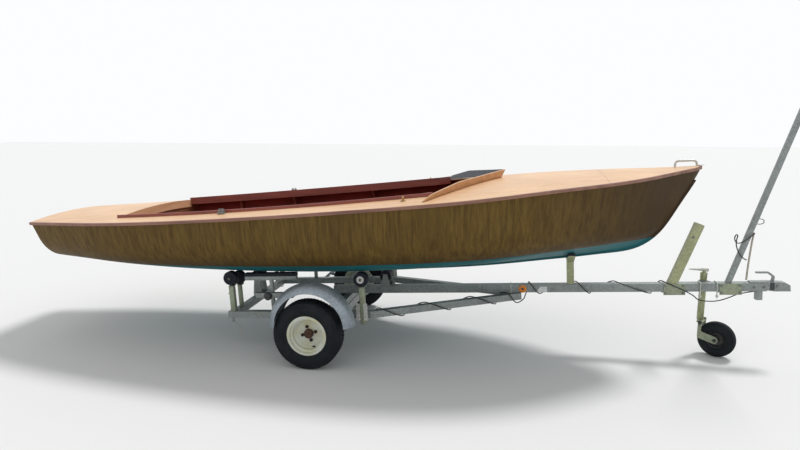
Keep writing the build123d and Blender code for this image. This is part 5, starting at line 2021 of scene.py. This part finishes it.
@dataclass
class JockeyWheel:
    """The jockey wheel's tube with its crank, the fork and the tyre."""

    finishes: Finishes
    tube_x: float = 2.245612
    tube_y: float = 0.068
    turn: float = -33.0
    trail: float = 0.124
    radius: float = 0.130
    half_width: float = 0.040
    foot: float = 0.256
    length: float = 0.345
    leg_thickness: float = 0.005
    leg_gap: float = 0.007
    pivot_x: float = 0.016
    pivot_rise: float = 0.112
    crank_flatness: float = 0.75
    lugs: int = 56
    lug_place: tuple[float, float] = (0.1205, 0.0285)
    lug_lean: float = 0.45

    def stem(self) -> Matrix:
        """The tube's axis, standing on the floor."""
        return Matrix.Translation((self.tube_x, self.tube_y, 0))

    def swivel(self) -> Matrix:
        """The fork's own frame, its X towards the hub."""
        return self.stem() @ Matrix.Rotation(math.radians(self.turn), 4, "Z")

    def tube(self) -> None:
        """Builds the tube, its cap and the tapered crank handle."""
        foot, top = self.foot, self.foot + self.length
        bm = Maker.turned([
            (0.021, foot), (0.0235, foot), (0.024, foot + 0.001), (0.024, top - 0.002),
            (0.0255, top), (0.0255, top + 0.008), (0.022, top + 0.011), (0.011, top + 0.012),
            (0.0105, top + 0.030), (0, top + 0.030), (0, top - 0.004), (0.021, top - 0.004),
            (0.021, foot),
        ], 40)
        # the tube takes the zinc with the painted sunlight tint
        Maker.piece(
            "jockey_post", bm, self.finishes.sunlit_zinc, "galvanised_steel", where=self.stem(),
            replaces=("jockey_tube",),
        )
        handle = Maker.turned([
            (0, 0.030), (0.0100, 0.030), (0.0145, 0.026), (0.0148, 0.020), (0.0125, 0.0),
            (0.0085, -0.050), (0.0050, -0.095), (0.0030, -0.106), (0, -0.107),
        ], 28)
        lie = Matrix.Translation((0, 0, top + 0.033)) @ Matrix.Rotation(math.pi / 2, 4, "Y")
        flat = Matrix.Diagonal((1.0, self.crank_flatness, 1.0, 1.0))
        Maker.piece(
            "crank_handle", handle, self.finishes.pale_and_sunlit_steel, "galvanised_steel",
            where=self.stem() @ lie @ flat,
        )

    def fork(self) -> None:
        """Builds the fork, its legs bent forward to the hub."""
        crown, foot = 2 * self.radius - 0.018, self.foot + 0.150
        inside, thickness = self.half_width + self.leg_gap, self.leg_thickness
        outside = inside + thickness
        trail, hub = self.trail, self.radius
        bm = Maker.turned([(0, crown), (0.0208, crown), (0.0208, foot), (0, foot), (0, crown)], 32)
        Maker.slab(bm, (-0.010, -outside, crown), (0.030, outside, crown + 0.006))
        outline = (
            (0.002, crown + 0.020), (0.030, crown + 0.020), (0.028, hub + 0.054),
            (0.034, hub + 0.047), (trail + 0.004, hub + 0.027), (trail + 0.016, hub + 0.019),
            (trail + 0.021, hub + 0.006), (trail + 0.020, hub - 0.009),
            (trail + 0.012, hub - 0.021), (trail - 0.004, hub - 0.027), (0.012, hub - 0.006),
            (0.003, hub + 0.006),
        )
        for side in Side:
            near = side.value * (inside + thickness / 2) - thickness / 2
            leg = Maker.plate(outline, thickness)
            Maker.spread(bm, leg, [Matrix.Translation((0, near, 0))])
        places = [
            Maker.outward(x, outside + 0.0002, z, side)
            for side in Side for x, z in ((trail, hub), (self.pivot_x, hub + self.pivot_rise))
        ]
        washer_profile = (
            (0.0065, 0.0), (0.0140, 0.0), (0.0140, 0.0020), (0.0065, 0.0020), (0.0065, 0.0),
        )
        seat = Matrix.Translation((0, 0, 0.0020))
        bolts = bmesh.new()
        Maker.spread(bolts, Maker.turned(washer_profile, 24), places)
        Maker.spread(bolts, Maker.nut(0.0110, 0.007, 0.004), [place @ seat for place in places])
        end = inside + 0.010
        Maker.rod(bm, [(trail, -end, hub), (trail, end, hub)], 0.006, 16)
        Maker.piece(
            "bent_fork", bm, self.finishes.sunlit_green_zinc, "galvanised_steel", "jockey_swivel",
            self.swivel(), ("jockey_fork",),
        )
        Maker.piece(
            "fork_bolts", bolts, self.finishes.worn_black, "galvanised_steel", "jockey_swivel",
            self.swivel(),
        )

    def tyre(self) -> None:
        """Builds the small tyre with its ribbed tread."""
        bm = Maker.turned(Maker.mirrored([
            (0.0625, 0.0300), (0.0700, 0.0345), (0.0740, 0.0370), (0.0765, 0.0362),
            (0.0860, 0.0395), (0.0960, self.half_width), (0.1080, 0.0385), (0.1100, 0.0362),
            (0.1180, 0.0315), (0.1245, 0.0235), (0.1262, 0.0225), (0.1262, 0.0205),
            (0.1285, 0.0190), (0.1292, 0.0120), (0.1262, 0.0105), (0.1262, 0.0085),
            (0.1298, 0.0065),
        ]), 60)
        out, across = self.lug_place
        Maker.spread(bm, Maker.block((0.0050, 0.0062, 0.0100), 0.0006), [
            Matrix.Rotation(math.tau * index / self.lugs, 4, "Z")
            @ Matrix.Translation((out, 0, hand * across))
            @ Matrix.Rotation(hand * self.lug_lean, 4, "Y")
            for index in range(self.lugs) for hand in (-1, 1)
        ])
        hub = self.swivel() @ Maker.outward(self.trail, 0, self.radius, Side.PORT)
        Maker.piece(
            "jockey_tread", bm, self.finishes.tyre, "tyre_rubber", "jockey_wheel", hub,
            ("jockey_tyre",),
        )

    def build(self) -> None:
        """Builds every piece of the jockey wheel."""
        self.tube()
        self.fork()
        self.tyre()


@dataclass
class Studio:
    """The plain floor, the lights and the camera."""

    camera_place: Point = (1.3684, -4.6313, 1.7136)
    yaw: float = 10.459
    pitch: float = 9.702
    focal_pixels: float = 608.46
    frame_width: float = 800.0
    sensor_width: float = 36.0
    far_clip: float = 200.0
    floor_size: float = 40.0
    floor_tone: Colour = (0.80, 0.80, 0.79)
    sky: Colour = (0.97, 0.985, 1.0)
    sky_strength: float = 0.62
    key_strength: float = 1.9
    key_spread: float = 12.0
    key_turn: tuple[float, float] = (-24.0, 22.0)

    def floor(self) -> None:
        """Builds the pale floor."""
        bm = bmesh.new()
        bmesh.ops.create_grid(bm, x_segments=1, y_segments=1, size=self.floor_size)
        mesh = bpy.data.meshes.new("floor")
        bm.to_mesh(mesh)
        bm.free()
        mesh.materials.append(Graph("floor_paint").surface(self.floor_tone, 0.9))
        floor = bpy.data.objects.new("floor", mesh)
        bpy.context.scene.collection.objects.link(floor)

    def lights(self) -> None:
        """Sets the soft sky light, seen at full strength, and one broad key light."""
        world = bpy.data.worlds.new("studio")
        bpy.context.scene.world = world
        world.use_nodes = True
        nodes, links = world.node_tree.nodes, world.node_tree.links
        background = nodes["Background"]
        background.inputs["Color"].default_value = (*self.sky, 1.0)
        path = nodes.new("ShaderNodeLightPath")
        seen = nodes.new("ShaderNodeMath")
        seen.operation = "MAXIMUM"
        for ray, socket in zip(("Is Camera Ray", "Is Glossy Ray"), seen.inputs):
            links.new(path.outputs[ray], socket)
        strength = nodes.new("ShaderNodeMapRange")
        links.new(seen.outputs[0], strength.inputs["Value"])
        strength.inputs["To Min"].default_value = self.sky_strength
        strength.inputs["To Max"].default_value = 1.0
        links.new(strength.outputs["Result"], background.inputs["Strength"])
        key = bpy.data.lights.new("key", "SUN")
        key.energy = self.key_strength
        key.angle = math.radians(self.key_spread)
        lamp = bpy.data.objects.new("key", key)
        lamp.rotation_euler = (*map(math.radians, self.key_turn), 0)
        bpy.context.scene.collection.objects.link(lamp)

    def camera(self) -> None:
        """Places the camera at the photograph's viewpoint."""
        data = bpy.data.cameras.new("camera")
        data.sensor_fit = "HORIZONTAL"
        data.sensor_width = self.sensor_width
        data.lens = self.focal_pixels * self.sensor_width / self.frame_width
        data.clip_end = self.far_clip
        camera = bpy.data.objects.new("camera", data)
        x, y, z = self.camera_place
        camera.location = (x - MIDDLE, y, z)
        camera.rotation_euler = (math.radians(90 - self.pitch), 0, math.radians(self.yaw))
        bpy.context.scene.collection.objects.link(camera)
        bpy.context.scene.camera = camera

    def build(self) -> None:
        """Builds the whole studio."""
        self.camera()
        self.floor()
        self.lights()
        bpy.context.scene.view_settings.view_transform = "Standard"


def main() -> None:
    """Builds the pieces in order."""
    Studio().build()
    finishes = Finishes()
    finishes.dress()
    hardware = DrawbarHardware(finishes)
    hardware.cable()
    hardware.lashings()
    for side in Side:
        RoadWheel(side, finishes).build()
    for group in (Foredeck, AfterDeck, Supports, MudguardStays):
        group(finishes).build()
    hardware.build()
    for group in (RearFittings, DeckFittings, JockeyWheel):
        group(finishes).build()


if __name__ == "__main__":
    main()
